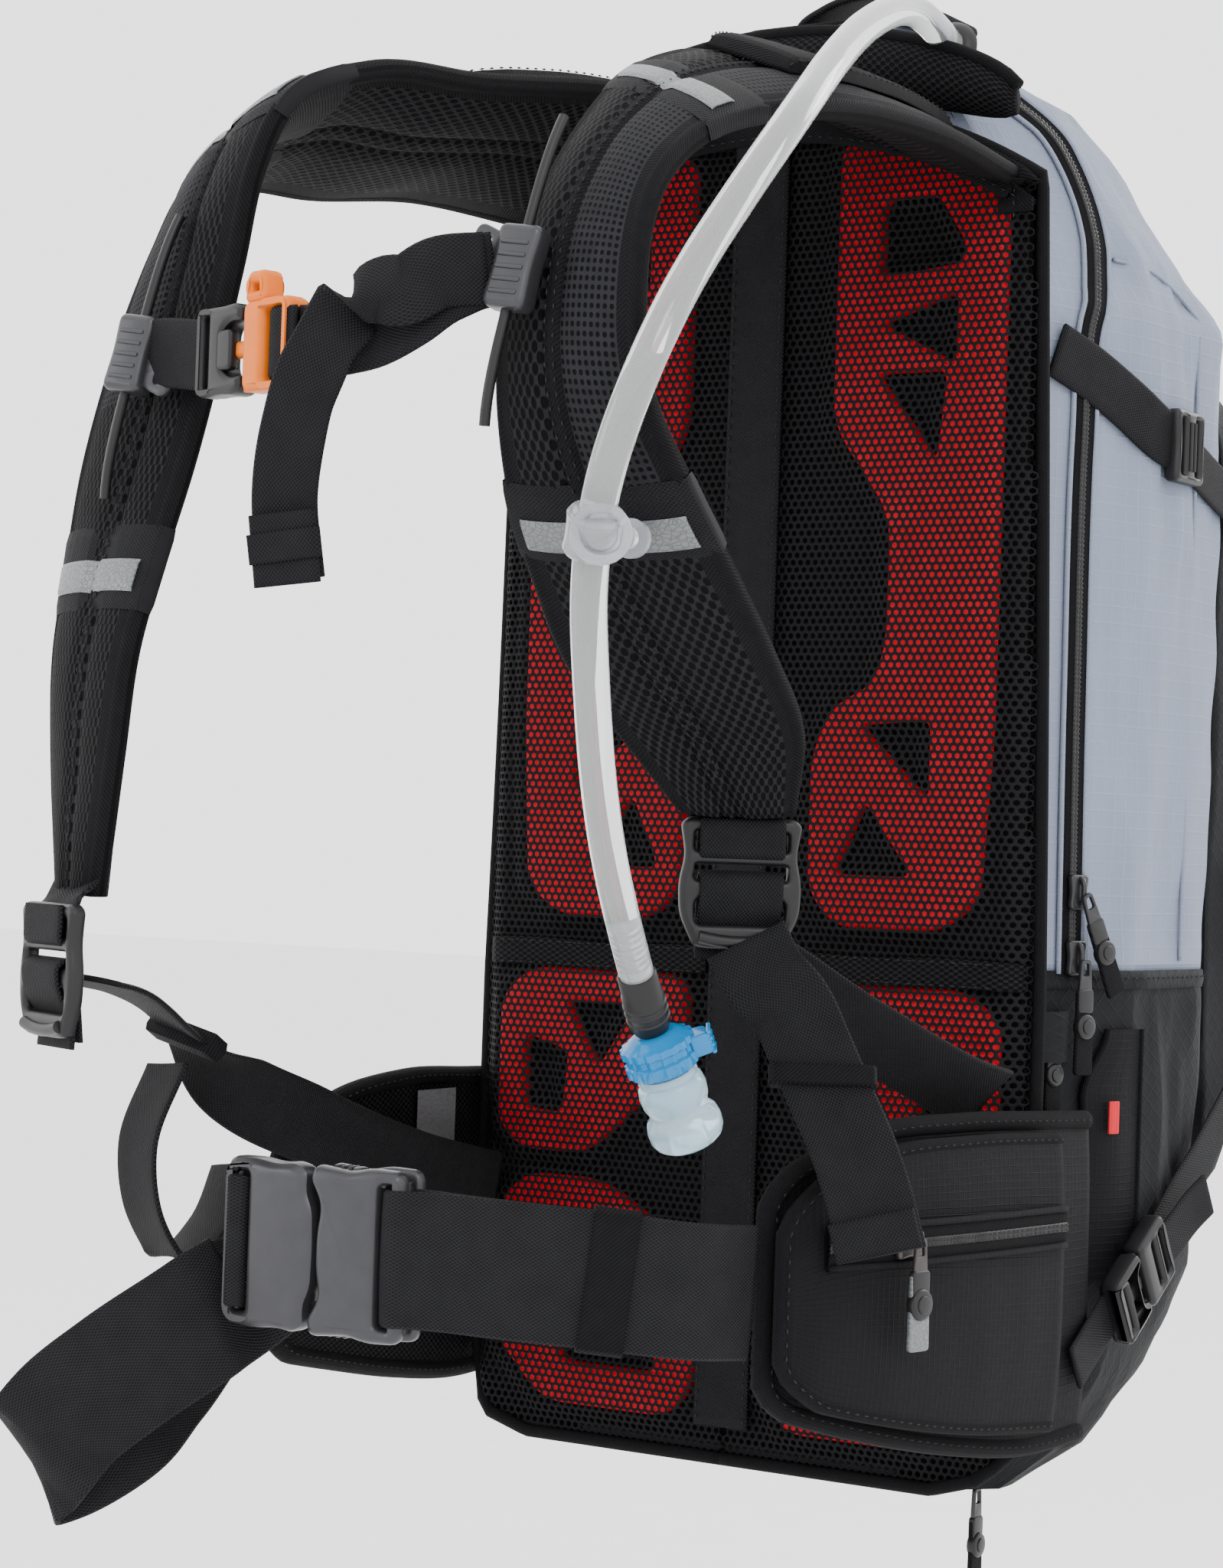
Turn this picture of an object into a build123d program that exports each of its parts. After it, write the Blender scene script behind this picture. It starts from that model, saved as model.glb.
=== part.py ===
"""Ski backpack with a foam and mesh back, two chest straps, a hip belt and a drink tube.

Frame: the origin is at the lower end of the back panel's centre line, on the face that meets the
wearer's back. +Z is up, -Y points to the wearer and +X is the wearer's left. Millimetres.
"""

from build123d import *

import os
from math import pi, radians, tan

os.makedirs("parts", exist_ok=True)

# ---------------------------------------------------------------- driving dimensions
GAP = 0.3  # room between soft pieces that only touch

PANEL_LOW = -4.0
PANEL_SIDE_TOP = 408.0
PANEL_TOP = 436.0
PANEL_HALF = 104.0
PANEL_FLAT = 95.0  # half-width of the part that lies flat
CONTACT_HALF = 78.0  # half-width and top of the area that rests on the wearer
CONTACT_TOP = 396.0
MESH = 1.5
PAD = 7.5
BOARD = 3.0
PAD_BACK = MESH + GAP
BOARD_BACK = PAD_BACK + PAD + GAP

BAG_BACK = 14.0
BAG_DEPTH = 142.0
BAG_HALF = 112.0
BAG_FLAT = 94.0  # half-width of the flat back of the bag
SIDE_DEPTH = 72.0  # how far back the slanted sides reach
WALL = 3.0
SEAM = 158.0  # height of the seam between the pale bag and its dark base

STRAP = 12.0
COVER = 8.0
WEB = 1.8
SHOULDER_WEB = 25.0
CHEST_WEB = 20.0
BELT_WEB = 38.0
WING = 6.0
POCKET = 7.0

RAIL_R = 1.7
RAIL_TRAVEL = 25.0
TUBE_D = 10.0

BUCKLE = Vector(-21, -188, 77)  # centre of the hip buckle
BUCKLE_TALL = 49.0
BUCKLE_THICK = 14.0
CHEST = Vector(-30, -222, 328)  # centre of the chest buckle


# ---------------------------------------------------------------- helpers
def band(edges, thickness):
    """A strap lofted through cross-sections, each given by the two points at its edges."""
    pairs = [(Vector(*a), Vector(*b)) for a, b in edges]
    mids = [(a + b) * 0.5 for a, b in pairs]
    last = len(pairs) - 1
    with BuildPart() as strap:
        for i, (a, b) in enumerate(pairs):
            across = b - a
            run = mids[min(i + 1, last)] - mids[max(i - 1, 0)]
            along = across.cross(run).cross(across)
            with BuildSketch(Plane(origin=mids[i], x_dir=across, z_dir=along)):
                Rectangle(across.length, thickness)
        loft(ruled=True)
    return strap.part


def webbing(stations, width, thickness=WEB):
    """A flat webbing through stations, each a point and the direction across the webbing there."""
    edges = []
    for point, across in stations:
        half = Vector(*across).normalized() * (width / 2)
        edges.append((tuple(Vector(*point) - half), tuple(Vector(*point) + half)))
    return band(edges, thickness)


def block(plane, centre, size, thick, radius=0.0):
    """A flat block that stands on a plane, centred at a place on it."""
    with BuildPart() as piece:
        with BuildSketch(plane):
            with Locations(centre):
                if radius:
                    RectangleRounded(*size, radius)
                else:
                    Rectangle(*size)
        extrude(amount=thick)
    return piece.part


def mirrored(edges):
    """The same pairs of edge points on the other side of the pack."""
    return [((-a[0], a[1], a[2]), (-b[0], b[1], b[2])) for a, b in edges]


def panel_shape(grow=0.0):
    """The outline of the back panel, in the plane of the wearer's back."""
    side = PANEL_HALF - 6
    with BuildSketch() as outline:
        with BuildLine():
            ThreePointArc((-side, PANEL_SIDE_TOP), (0, PANEL_TOP), (side, PANEL_SIDE_TOP))
            Polyline((side, PANEL_SIDE_TOP), (PANEL_HALF, 150), (PANEL_HALF, 24), (78, PANEL_LOW))
            Line((78, PANEL_LOW), (-78, PANEL_LOW))
            Polyline((-78, PANEL_LOW), (-PANEL_HALF, 24), (-PANEL_HALF, 150), (-side, PANEL_SIDE_TOP))
        make_face()
        if grow:
            offset(amount=grow, kind=Kind.INTERSECTION)
    return outline.sketch


def bag_section(half, depth, radius, back, inset):
    """One level of the bag: flat towards the wearer, slanted sides, rounded front corners."""
    flat = max(half - (BAG_HALF - BAG_FLAT), half / 2) - inset
    middle = back + (depth - back) * 0.45
    near, far = back + inset, depth - inset
    half -= inset
    with BuildSketch() as level:
        with BuildLine():
            Polyline(
                (-flat, near), (flat, near), (half, middle), (half, far),
                (-half, far), (-half, middle), close=True,
            )
        make_face()
        fillet(level.vertices().group_by(Axis.Y)[-1], radius=radius - inset)
    return level.sketch


# height, half-width, depth, front corner radius, distance of the back from the panel's face
BAG_LEVELS = [
    (-8, 84, 62, 20, BAG_BACK),
    (4, 96, 92, 26, BAG_BACK),
    (26, 104, 122, 30, BAG_BACK),
    (60, BAG_HALF, BAG_DEPTH, 30, BAG_BACK),
    (372, BAG_HALF, BAG_DEPTH, 30, BAG_BACK),
    (392, 104, 126, 28, BAG_BACK),
    (428, 86, 106, 26, BAG_BACK),
    (442, 76, 96, 24, 17),
    (456, 52, 88, 20, 27),
    (466, 38, 84, 14, 36),
    (474, 26, 82, 10, 46),
]


def bag_body(inset):
    """The whole bag as one closed form, or its inside when it is inset by the wall."""
    with BuildPart() as body:
        for height, half, depth, radius, back in BAG_LEVELS:
            if height == BAG_LEVELS[0][0]:
                height += inset
            if height == BAG_LEVELS[-1][0]:
                height -= inset
            with BuildSketch(Plane.XY.offset(height)):
                add(bag_section(half, depth, radius, back, inset))
        loft(ruled=True)
    return body.part


def on_side(sign, out=0.0, height=0.0):
    """A plane on the bag's slanted side: x runs back along the side, y up, z out of the bag."""
    run = Vector(sign * (BAG_HALF - BAG_FLAT), SIDE_DEPTH - BAG_BACK, 0).normalized()
    normal = Vector(sign * run.Y, -abs(run.X), 0)
    origin = Vector(sign * BAG_FLAT, BAG_BACK, height) + normal * out
    if sign > 0:
        return Plane(origin=origin, x_dir=run, z_dir=normal)
    return Plane(origin=origin, x_dir=-run, z_dir=normal)


def side_point(along, out, height):
    """A point on the left side of the bag, as on_side measures it."""
    return tuple(on_side(1, out, height).from_local_coords(Vector(along, 0, 0)))


# ---------------------------------------------------------------- the bag
with BuildPart() as bag_shell:
    add(bag_body(0))
    add(bag_body(WALL), mode=Mode.SUBTRACT)

with BuildPart() as main_bag:
    add(bag_shell.part)
    split(bisect_by=Plane.XY.offset(SEAM), keep=Keep.TOP)
main_bag.part.label = "main_bag"
export_step(main_bag.part, "parts/main_bag.step")

with BuildPart() as base_bag:
    add(bag_shell.part)
    split(bisect_by=Plane.XY.offset(SEAM), keep=Keep.BOTTOM)
base_bag.part.label = "base_bag"
export_step(base_bag.part, "parts/base_bag.step")

# distance back, half-width, lowest and highest point, corner radius
POCKET_LEVELS = [
    (BAG_DEPTH + GAP, 104, 60, 372, 40),
    (160, 105, 64, 372, 40),
    (176, 102, 76, 358, 38),
    (190, 80, 104, 330, 34),
]
with BuildPart() as front_pocket:
    for back, half, low, high, radius in POCKET_LEVELS:
        with BuildSketch(Plane.XZ.offset(-back)):
            with Locations((0, (low + high) / 2)):
                RectangleRounded(2 * half, high - low, radius)
    loft(ruled=True)
front_pocket.part.label = "front_pocket"
export_step(front_pocket.part, "parts/front_pocket.step")

# stretch pockets low on both sides, open at the front edge towards the wearer's hand
SIDE_POCKET_LOW, SIDE_POCKET_HIGH = 64.0, 136.0
with BuildPart() as side_pockets:
    for sign in (1, -1):
        with BuildSketch(on_side(sign, GAP)) as leaf:
            with BuildLine():
                start, end = sign * 30, sign * 58
                Polyline(
                    (start, SIDE_POCKET_LOW), (end, SIDE_POCKET_LOW),
                    (end, SIDE_POCKET_HIGH), (start, SIDE_POCKET_HIGH - 16), close=True,
                )
            make_face()
        extrude(amount=1.6)
side_pockets.part.label = "side_pockets"
export_step(side_pockets.part, "parts/side_pockets.step")

# ---------------------------------------------------------------- the back panel
with BuildPart() as back_mesh:
    with BuildSketch(Plane.XY.offset(PANEL_LOW - 10)) as profile:
        bend, depth = PANEL_FLAT, 13
        with BuildLine():
            Polyline(
                (-PANEL_HALF, depth), (-PANEL_HALF, 9), (-bend, 0), (bend, 0),
                (PANEL_HALF, 9), (PANEL_HALF, depth), close=True,
            )
        make_face()
        inner = PANEL_HALF - MESH
        with BuildLine():
            Polyline(
                (-inner, depth + 1), (-inner, 9.6), (0.6 - bend, MESH), (bend - 0.6, MESH),
                (inner, 9.6), (inner, depth + 1), close=True,
            )
        make_face(mode=Mode.SUBTRACT)
    extrude(amount=PANEL_TOP + 30)
    with BuildSketch(Plane.XZ):
        add(panel_shape())
    extrude(amount=30, both=True, mode=Mode.INTERSECT)
    # the centre strip lies in a slot of its own
    with BuildSketch(Plane.XZ.offset(1)):
        with Locations((0, 219)):
            Rectangle(CHEST_WEB + 1, 418)
    extrude(amount=-5, mode=Mode.SUBTRACT)
    # only the middle touches the wearer: the rim lies a little lower, under straps and webbing
    with BuildSketch(Plane.XZ.offset(1)):
        Rectangle(3 * PANEL_HALF, 1200)
        with Locations((0, CONTACT_TOP - 300)):
            Rectangle(2 * CONTACT_HALF, 600, mode=Mode.SUBTRACT)
    extrude(amount=-1.2, mode=Mode.SUBTRACT)
back_mesh.part.label = "back_mesh"
export_step(back_mesh.part, "parts/back_mesh.step")

with BuildPart() as centre_strip:
    with BuildSketch(Plane.XZ.offset(-0.1)):
        with Locations((0, 219)):
            Rectangle(CHEST_WEB, 417)
    extrude(amount=-(MESH - 0.1))
centre_strip.part.label = "centre_strip"
export_step(centre_strip.part, "parts/centre_strip.step")

PAD_PLANE = Plane.XZ.offset(-PAD_BACK)

# the long pad beside the spine, with its five cut-outs
LONG_PAD = [
    (28, 425), (70, 416), (88, 402), (88, 232), (85, 180), (73, 170), (34, 170), (24, 182),
    (24, 226), (32, 242), (46, 248), (50, 262), (50, 302), (28, 332),
]
LONG_PAD_HOLES = [
    [(44, 404), (64, 404), (74, 388), (73, 382), (44, 379)],
    [(44, 364), (72, 373), (72, 350)],
    [(43, 348), (69, 348), (66, 319)],
    [(41, 235), (67, 237), (67, 211)],
    [(33, 187), (62, 187), (44, 211)],
]
with BuildPart() as long_pads:
    for sign in (1, -1):
        with BuildSketch(PAD_PLANE):
            with BuildLine():
                Polyline(*[(sign * x, z) for x, z in LONG_PAD], close=True)
            make_face()
            for hole in LONG_PAD_HOLES:
                with BuildLine():
                    Polyline(*[(sign * x, z) for x, z in hole], close=True)
                make_face(mode=Mode.SUBTRACT)
        extrude(amount=-PAD)
long_pads.part.label = "long_pads"
export_step(long_pads.part, "parts/long_pads.step")

LUMBAR_PADS = [
    [(20, 152), (82, 152), (94, 142), (94, 98), (84, 90), (58, 90), (20, 124)],
    [(12, 20), (22, 6), (72, 6), (92, 26), (92, 72), (82, 82), (52, 82), (12, 60)],
]
LUMBAR_HOLES = [
    [(40, 141), (68, 141), (54, 119)],
    [(66, 124), (84, 129), (84, 104), (68, 103)],
    [(28, 20), (64, 20), (76, 40), (76, 60), (28, 44)],
]
with BuildPart() as lumbar_pads:
    for sign in (1, -1):
        with BuildSketch(PAD_PLANE):
            for outline in LUMBAR_PADS:
                with BuildLine():
                    Polyline(*[(sign * x, z) for x, z in outline], close=True)
                make_face()
            for hole in LUMBAR_HOLES:
                with BuildLine():
                    Polyline(*[(sign * x, z) for x, z in hole], close=True)
                make_face(mode=Mode.SUBTRACT)
        extrude(amount=-PAD)
lumbar_pads.part.label = "lumbar_pads"
export_step(lumbar_pads.part, "parts/lumbar_pads.step")

with BuildPart() as back_board:
    with BuildSketch(Plane.XZ.offset(-BOARD_BACK)):
        add(panel_shape(-4))
    extrude(amount=-BOARD)
back_board.part.label = "back_board"
export_step(back_board.part, "parts/back_board.step")

# a plastic sheet inside the bag's back wall keeps the panel flat
with BuildPart() as frame_sheet:
    with BuildSketch(Plane.XZ.offset(-(BAG_BACK + WALL + GAP))):
        with Locations((0, 212)):
            RectangleRounded(150, 380, 20)
    extrude(amount=-1.5)
frame_sheet.part.label = "frame_sheet"
export_step(frame_sheet.part, "parts/frame_sheet.step")

with BuildPart() as reservoir:
    with BuildSketch(Plane.XZ.offset(-22)):
        with Locations((0, 240)):
            RectangleRounded(150, 300, 30)
    extrude(amount=-24)
    fillet(reservoir.edges().group_by(Axis.Y)[-1], radius=10)
    # neck that the drink tube leaves from, towards the port
    with BuildSketch(Plane.XY.offset(388)):
        with Locations((40, 34)):
            Circle(6)
    extrude(amount=16)
reservoir.part.label = "reservoir"
export_step(reservoir.part, "parts/reservoir.step")

# binding over the panel's upper edge and piping round its lower edge
with BuildPart() as panel_binding:
    with BuildSketch(Plane.XZ):
        add(panel_shape(6))
        add(panel_shape(GAP), mode=Mode.SUBTRACT)
        with Locations((0, 209)):
            Rectangle(2 * PANEL_HALF + 20, 392, mode=Mode.SUBTRACT)
    extrude(amount=-5)
panel_binding.part.label = "panel_binding"
export_step(panel_binding.part, "parts/panel_binding.step")

# mesh yoke behind the binding, between the strap roots and the top of the bag
with BuildPart() as yoke:
    with BuildSketch(Plane.XZ.offset(-5.3)):
        with BuildLine():
            ThreePointArc((-84, 438), (0, 460), (84, 438))
            Line((84, 438), (84, 424))
            ThreePointArc((84, 424), (0, 442), (-84, 424))
            Line((-84, 424), (-84, 438))
        make_face()
    extrude(amount=-8)
yoke.part.label = "yoke"
export_step(yoke.part, "parts/yoke.step")

LOOP_Y = 72.0
LOOP_LOW, LOOP_HIGH = 474.5, 490.0
outer, inner = 26.0, 23.0
with BuildPart() as haul_loop:
    with BuildSketch(Plane.XZ.offset(-(LOOP_Y - 10))):
        with BuildLine():
            Line((-outer, LOOP_LOW), (-outer, LOOP_LOW + 4))
            ThreePointArc((-outer, LOOP_LOW + 4), (0, LOOP_HIGH), (outer, LOOP_LOW + 4))
            Line((outer, LOOP_LOW + 4), (outer, LOOP_LOW))
            Line((outer, LOOP_LOW), (inner, LOOP_LOW))
            Line((inner, LOOP_LOW), (inner, LOOP_LOW + 2))
            ThreePointArc((inner, LOOP_LOW + 2), (0, LOOP_HIGH - 3), (-inner, LOOP_LOW + 2))
            Line((-inner, LOOP_LOW + 2), (-inner, LOOP_LOW))
            Line((-inner, LOOP_LOW), (-outer, LOOP_LOW))
        make_face()
    extrude(amount=-16)
haul_loop.part.label = "haul_loop"
export_step(haul_loop.part, "parts/haul_loop.step")

# ---------------------------------------------------------------- shoulder straps
# pairs of points on the neck edge and on the arm edge, from the yoke down
LEFT_STRAP = [
    ((16, -0.5, 438), (93, -0.5, 407)),
    ((28, -60, 434), (98, -64, 408)),
    ((38, -118, 424), (96, -128, 402)),
    ((44, -160, 404), (92, -182, 386)),
    ((46, -186, 378), (93, -208, 366)),
    ((46, -204, 350), (94, -216, 345)),
    ((46, -209, 317), (96, -214, 312)),
    ((45, -202, 290), (98, -196, 290)),
    ((43, -185, 266), (98, -170, 267)),
    ((43, -168, 245), (95, -143, 247)),
    ((46, -146, 227), (89, -116, 227)),
    ((53, -124, 206), (79, -102, 206)),
]
RIGHT_STRAP = [
    ((-16, -0.5, 438), (-93, -0.5, 405)),
    ((-22, -56, 434), (-98, -60, 404)),
    ((-31, -116, 425), (-101, -112, 396)),
    ((-38, -160, 420), (-102, -144, 393)),
    ((-44, -190, 406), (-104, -164, 386)),
    ((-50, -198, 384), (-107, -174, 366)),
    ((-57, -196, 360), (-110, -181, 347)),
    ((-63, -197, 332), (-113, -187, 324)),
    ((-67, -203, 300), (-115, -193, 298)),
    ((-70, -212, 270), (-115, -198, 270)),
    ((-71, -220, 245), (-113, -204, 244)),
    ((-71, -225, 215), (-110, -206, 213)),
    ((-74, -225, 192), (-106, -208, 191)),
    ((-79, -222, 174), (-101, -211, 175)),
]
for side, edges in (("left", LEFT_STRAP), ("right", RIGHT_STRAP)):
    with BuildPart() as shoulder_strap:
        add(band(edges, STRAP))
    shoulder_strap.part.label = f"shoulder_strap_{side}"
    export_step(shoulder_strap.part, f"parts/shoulder_strap_{side}.step")

# twill covers that lie on the upper face of each strap, from the yoke to the bend
with BuildPart() as shoulder_covers:
    for edges in (LEFT_STRAP, RIGHT_STRAP):
        lift = Vector(0, 0, (STRAP + COVER) / 2 + 2.5)
        inboard, outboard = 0.12, 0.72
        pairs = []
        for neck, arm in edges[:3]:
            a, b = Vector(*neck) + lift, Vector(*arm) + lift
            pairs.append((tuple(a + (b - a) * inboard), tuple(a + (b - a) * outboard)))
        add(band(pairs, COVER))
shoulder_covers.part.label = "shoulder_covers"
export_step(shoulder_covers.part, "parts/shoulder_covers.step")

# rails for the chest strap's sliders, one on each shoulder strap, and their sewn ends
RAIL_RUN = Vector(0.14, 0.18, 1).normalized()
RAIL_LEFT = Vector(58, -221, 345)
RAIL_RIGHT = Vector(-86, -206.5, 331)
RAIL_HALF = 44.0


def rail_plane(centre, shift=0.0):
    """A plane square to the rails: x across the strap, y away from the wearer."""
    return Plane(origin=centre + RAIL_RUN * shift, x_dir=(1, 0, -0.14), z_dir=RAIL_RUN)


with BuildPart() as sternum_rails:
    for centre in (RAIL_LEFT, RAIL_RIGHT):
        with BuildSketch(rail_plane(centre, -RAIL_HALF)):
            Circle(RAIL_R)
        extrude(amount=2 * RAIL_HALF)
        for end in (-RAIL_HALF, RAIL_HALF - 5):
            with BuildSketch(rail_plane(centre, end)):
                RectangleRounded(9, 4.6, 1)
            extrude(amount=5)
sternum_rails.part.label = "sternum_rails"
export_step(sternum_rails.part, "parts/sternum_rails.step")

SLIDER_TALL = 24.0
with BuildPart() as sternum_sliders:
    for centre in (RAIL_LEFT, RAIL_RIGHT):
        with BuildSketch(rail_plane(centre, -SLIDER_TALL / 2)):
            RectangleRounded(15, 8.4, 2)
            Circle(RAIL_R + 0.7, mode=Mode.SUBTRACT)
        extrude(amount=SLIDER_TALL)
sternum_sliders.part.label = "sternum_sliders"
export_step(sternum_sliders.part, "parts/sternum_sliders.step")

# ---------------------------------------------------------------- ladder locks
LOCK_WIDE, LOCK_TALL, LOCK_THICK = 36.0, 38.0, 7.0
LOCKS = {
    "left": (Vector(66, -109, 184), Vector(0.75, 0.66, 0)),
    "right": (Vector(-88, -230, 153), Vector(0.91, -0.41, 0)),
}
for side, (centre, across) in LOCKS.items():
    outward = across.cross(Vector(0, 0, 1)).normalized()
    face = Plane(origin=centre - outward * (LOCK_THICK / 2), x_dir=across, z_dir=outward)
    with BuildPart() as ladder_lock:
        with BuildSketch(face):
            RectangleRounded(LOCK_WIDE, LOCK_TALL, 5)
            with GridLocations(0, 11.5, 1, 3):
                SlotOverall(SHOULDER_WEB + 3, 5, mode=Mode.SUBTRACT)
        extrude(amount=LOCK_THICK)
        fillet(ladder_lock.edges().group_by(SortBy.LENGTH)[-1], radius=1.2)
    ladder_lock.part.label = f"ladder_lock_{side}"
    export_step(ladder_lock.part, f"parts/ladder_lock_{side}.step")

# ---------------------------------------------------------------- lower strap webbings
LEFT_ACROSS = (0.8, 0.6, 0)
LEFT_ANCHOR = [
    ((68, -104, 163), LEFT_ACROSS),
    ((80, -72, 146), LEFT_ACROSS),
    ((92, -34, 128), (0.7, 0.7, 0.1)),
    ((97, -8, 119), (0.5, 0.8, 0.2)),
]
LEFT_TAIL = [
    ((72, -111, 163), LEFT_ACROSS),
    ((82, -106, 150), LEFT_ACROSS),
    ((89, -105, 138), LEFT_ACROSS),
    ((105, -109, 113), LEFT_ACROSS),
    ((119, -113, 82), LEFT_ACROSS),
]
RIGHT_ACROSS = (0.75, -0.6, 0.1)
RIGHT_ANCHOR = [
    ((-88, -216, 150), RIGHT_ACROSS),
    ((-91, -190, 144), RIGHT_ACROSS),
    ((-92, -165, 132), (0.8, -0.55, 0.1)),
    ((-91, -144, 117), (0.6, -0.1, 0.7)),
    ((-89, -104, 102), (0.1, 0.1, 1)),
    ((-88, -52, 86), (0.05, 0.3, 1)),
    ((-88, -4, 76), (0, 0.3, 1)),
]
RIGHT_TAIL = [
    ((-93, -172, 124), (0.9, -0.4, 0)),
    ((-95, -182, 100), (0.9, -0.4, 0)),
    ((-94, -178, 78), (0.9, -0.4, 0)),
    ((-93, -166, 66), (0.9, -0.4, 0)),
    ((-92, -150, 76), (0.9, -0.4, 0)),
    ((-91, -142, 92), (0.9, -0.4, 0)),
]
for side, runs in (("left", (LEFT_ANCHOR, LEFT_TAIL)), ("right", (RIGHT_ANCHOR, RIGHT_TAIL))):
    with BuildPart() as strap_webbing:
        for run in runs:
            add(webbing(run, SHOULDER_WEB))
    strap_webbing.part.label = f"strap_webbing_{side}"
    export_step(strap_webbing.part, f"parts/strap_webbing_{side}.step")

# ---------------------------------------------------------------- hip belt wings
# pairs of points on the lower and on the upper edge, from the bag forward
WING_LEFT = [
    ((110.5, 34, 14), (110.5, 34, 112)),
    ((108.5, 5, 13), (108.5, 5, 113)),
    ((103, -40, 18), (103, -40, 114)),
    ((94, -84, 27), (94, -84, 111)),
    ((83, -116, 36), (83, -116, 98)),
]
WING_RIGHT = mirrored(WING_LEFT[:3]) + [
    ((-99, -84, 26), (-99, -84, 108)),
    ((-96, -114, 32), (-96, -114, 96)),
]
for side, edges in (("left", WING_LEFT), ("right", WING_RIGHT)):
    with BuildPart() as hip_wing:
        add(band(edges, WING))
    hip_wing.part.label = f"hip_wing_{side}"
    export_step(hip_wing.part, f"parts/hip_wing_{side}.step")

# zipped pocket on the outer face of the left wing
WING_POCKET = [
    ((115.3, 5, 20), (115.3, 5, 108)),
    ((109.8, -41, 24), (109.8, -41, 109)),
    ((100.6, -87, 32), (100.6, -87, 106)),
    ((90.5, -119.5, 40), (90.5, -119.5, 95)),
]
with BuildPart() as wing_pocket:
    add(band(WING_POCKET, POCKET))
wing_pocket.part.label = "wing_pocket"
export_step(wing_pocket.part, "parts/wing_pocket.step")

# ---------------------------------------------------------------- hip belt webbing and buckle
UPRIGHT = (0, 0, 1)
BELT_LEFT = [
    ((83.5, -124.5, 69), UPRIGHT),
    ((78, -148, 71), UPRIGHT),
    ((63, -168, 74), UPRIGHT),
    ((36, -183, 76), UPRIGHT),
    ((12.5, -188, 77), UPRIGHT),
]
with BuildPart() as belt_webbing_left:
    add(webbing(BELT_LEFT, BELT_WEB, 2.4))
belt_webbing_left.part.label = "belt_webbing_left"
export_step(belt_webbing_left.part, "parts/belt_webbing_left.step")

# the slack on the other side leaves the buckle, hangs forward in a loop and returns to the wing
BELT_RIGHT = [
    ((-54, -176, 64), (-0.1, 0, 1)),
    ((-60, -190, 54), (-0.36, -0.23, 0.9)),
    ((-78, -206, 37), (-0.43, -0.28, 0.86)),
    ((-92, -214, 23), (-0.44, -0.28, 0.85)),
    ((-98, -216, 14.5), (-0.47, -0.3, 0.83)),
    ((-104, -211, 9), (-0.47, -0.3, 0.83)),
    ((-102, -204, 10), (-0.47, -0.3, 0.83)),
    ((-94, -190, 18), (-0.55, -0.35, 0.75)),
    ((-97, -165, 31), (-0.5, -0.3, 0.8)),
    ((-98, -142, 46), (-0.25, -0.15, 0.95)),
    ((-96, -117.5, 60), UPRIGHT),
]
with BuildPart() as belt_webbing_right:
    add(webbing(BELT_RIGHT, BELT_WEB))
belt_webbing_right.part.label = "belt_webbing_right"
export_step(belt_webbing_right.part, "parts/belt_webbing_right.step")

FEMALE_END = BUCKLE.X + 32
SPLIT_X = BUCKLE.X - 1
MALE_END = BUCKLE.X - 32
CAVITY_DEEP = 20.0
BUCKLE_FACE = Plane.XZ.offset(-(BUCKLE.Y - BUCKLE_THICK / 2))


def buckle_block(start, end, radius):
    """A rounded block of the hip buckle's thickness between two places along the belt."""
    centre = ((start + end) / 2, BUCKLE.Z)
    return block(BUCKLE_FACE, centre, (end - start, BUCKLE_TALL), -BUCKLE_THICK, radius)


with BuildPart() as belt_buckle_female:
    add(buckle_block(SPLIT_X + 0.2, FEMALE_END, 4))
    # open mouth and side windows for the tongue and the two prongs
    with BuildSketch(Plane.XZ.offset(-(BUCKLE.Y - 4))):
        with Locations((SPLIT_X + CAVITY_DEEP / 2, BUCKLE.Z)):
            Rectangle(CAVITY_DEEP, BUCKLE_TALL + 2)
    extrude(amount=-8, mode=Mode.SUBTRACT)
    # slot for the webbing
    with BuildSketch(BUCKLE_FACE):
        with Locations((FEMALE_END - 6, BUCKLE.Z)):
            Rectangle(5, BELT_WEB + 2)
    extrude(amount=-BUCKLE_THICK, mode=Mode.SUBTRACT)
belt_buckle_female.part.label = "belt_buckle_female"
export_step(belt_buckle_female.part, "parts/belt_buckle_female.step")

with BuildPart() as belt_buckle_male:
    add(buckle_block(MALE_END, SPLIT_X - 0.2, 4))
    with BuildSketch(BUCKLE_FACE):
        with Locations((MALE_END + 6, BUCKLE.Z)):
            Rectangle(5, BELT_WEB + 2)
    extrude(amount=-BUCKLE_THICK, mode=Mode.SUBTRACT)
    # guide tongue
    with BuildSketch(Plane.XZ.offset(-(BUCKLE.Y - 3))):
        with Locations((SPLIT_X + CAVITY_DEEP / 2 - 1.5, BUCKLE.Z)):
            Rectangle(CAVITY_DEEP - 2, 10)
    extrude(amount=-6)
belt_buckle_male.part.label = "belt_buckle_male"
export_step(belt_buckle_male.part, "parts/belt_buckle_male.step")

PRONG_ROOT = SPLIT_X + 0.5
for name, sign in (("upper", 1), ("lower", -1)):
    with BuildPart() as belt_prong:
        with BuildSketch(Plane.XZ.offset(-(BUCKLE.Y - 3))):
            with BuildLine():
                base, tip = PRONG_ROOT, PRONG_ROOT + 16
                Polyline(
                    (base, BUCKLE.Z + sign * 14), (base, BUCKLE.Z + sign * 20),
                    (base + 5, BUCKLE.Z + sign * 22), (tip, BUCKLE.Z + sign * 24),
                    (tip, BUCKLE.Z + sign * 17), close=True,
                )
            make_face()
        extrude(amount=-6)
    belt_prong.part.label = f"belt_prong_{name}"
    export_step(belt_prong.part, f"parts/belt_prong_{name}.step")

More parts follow.
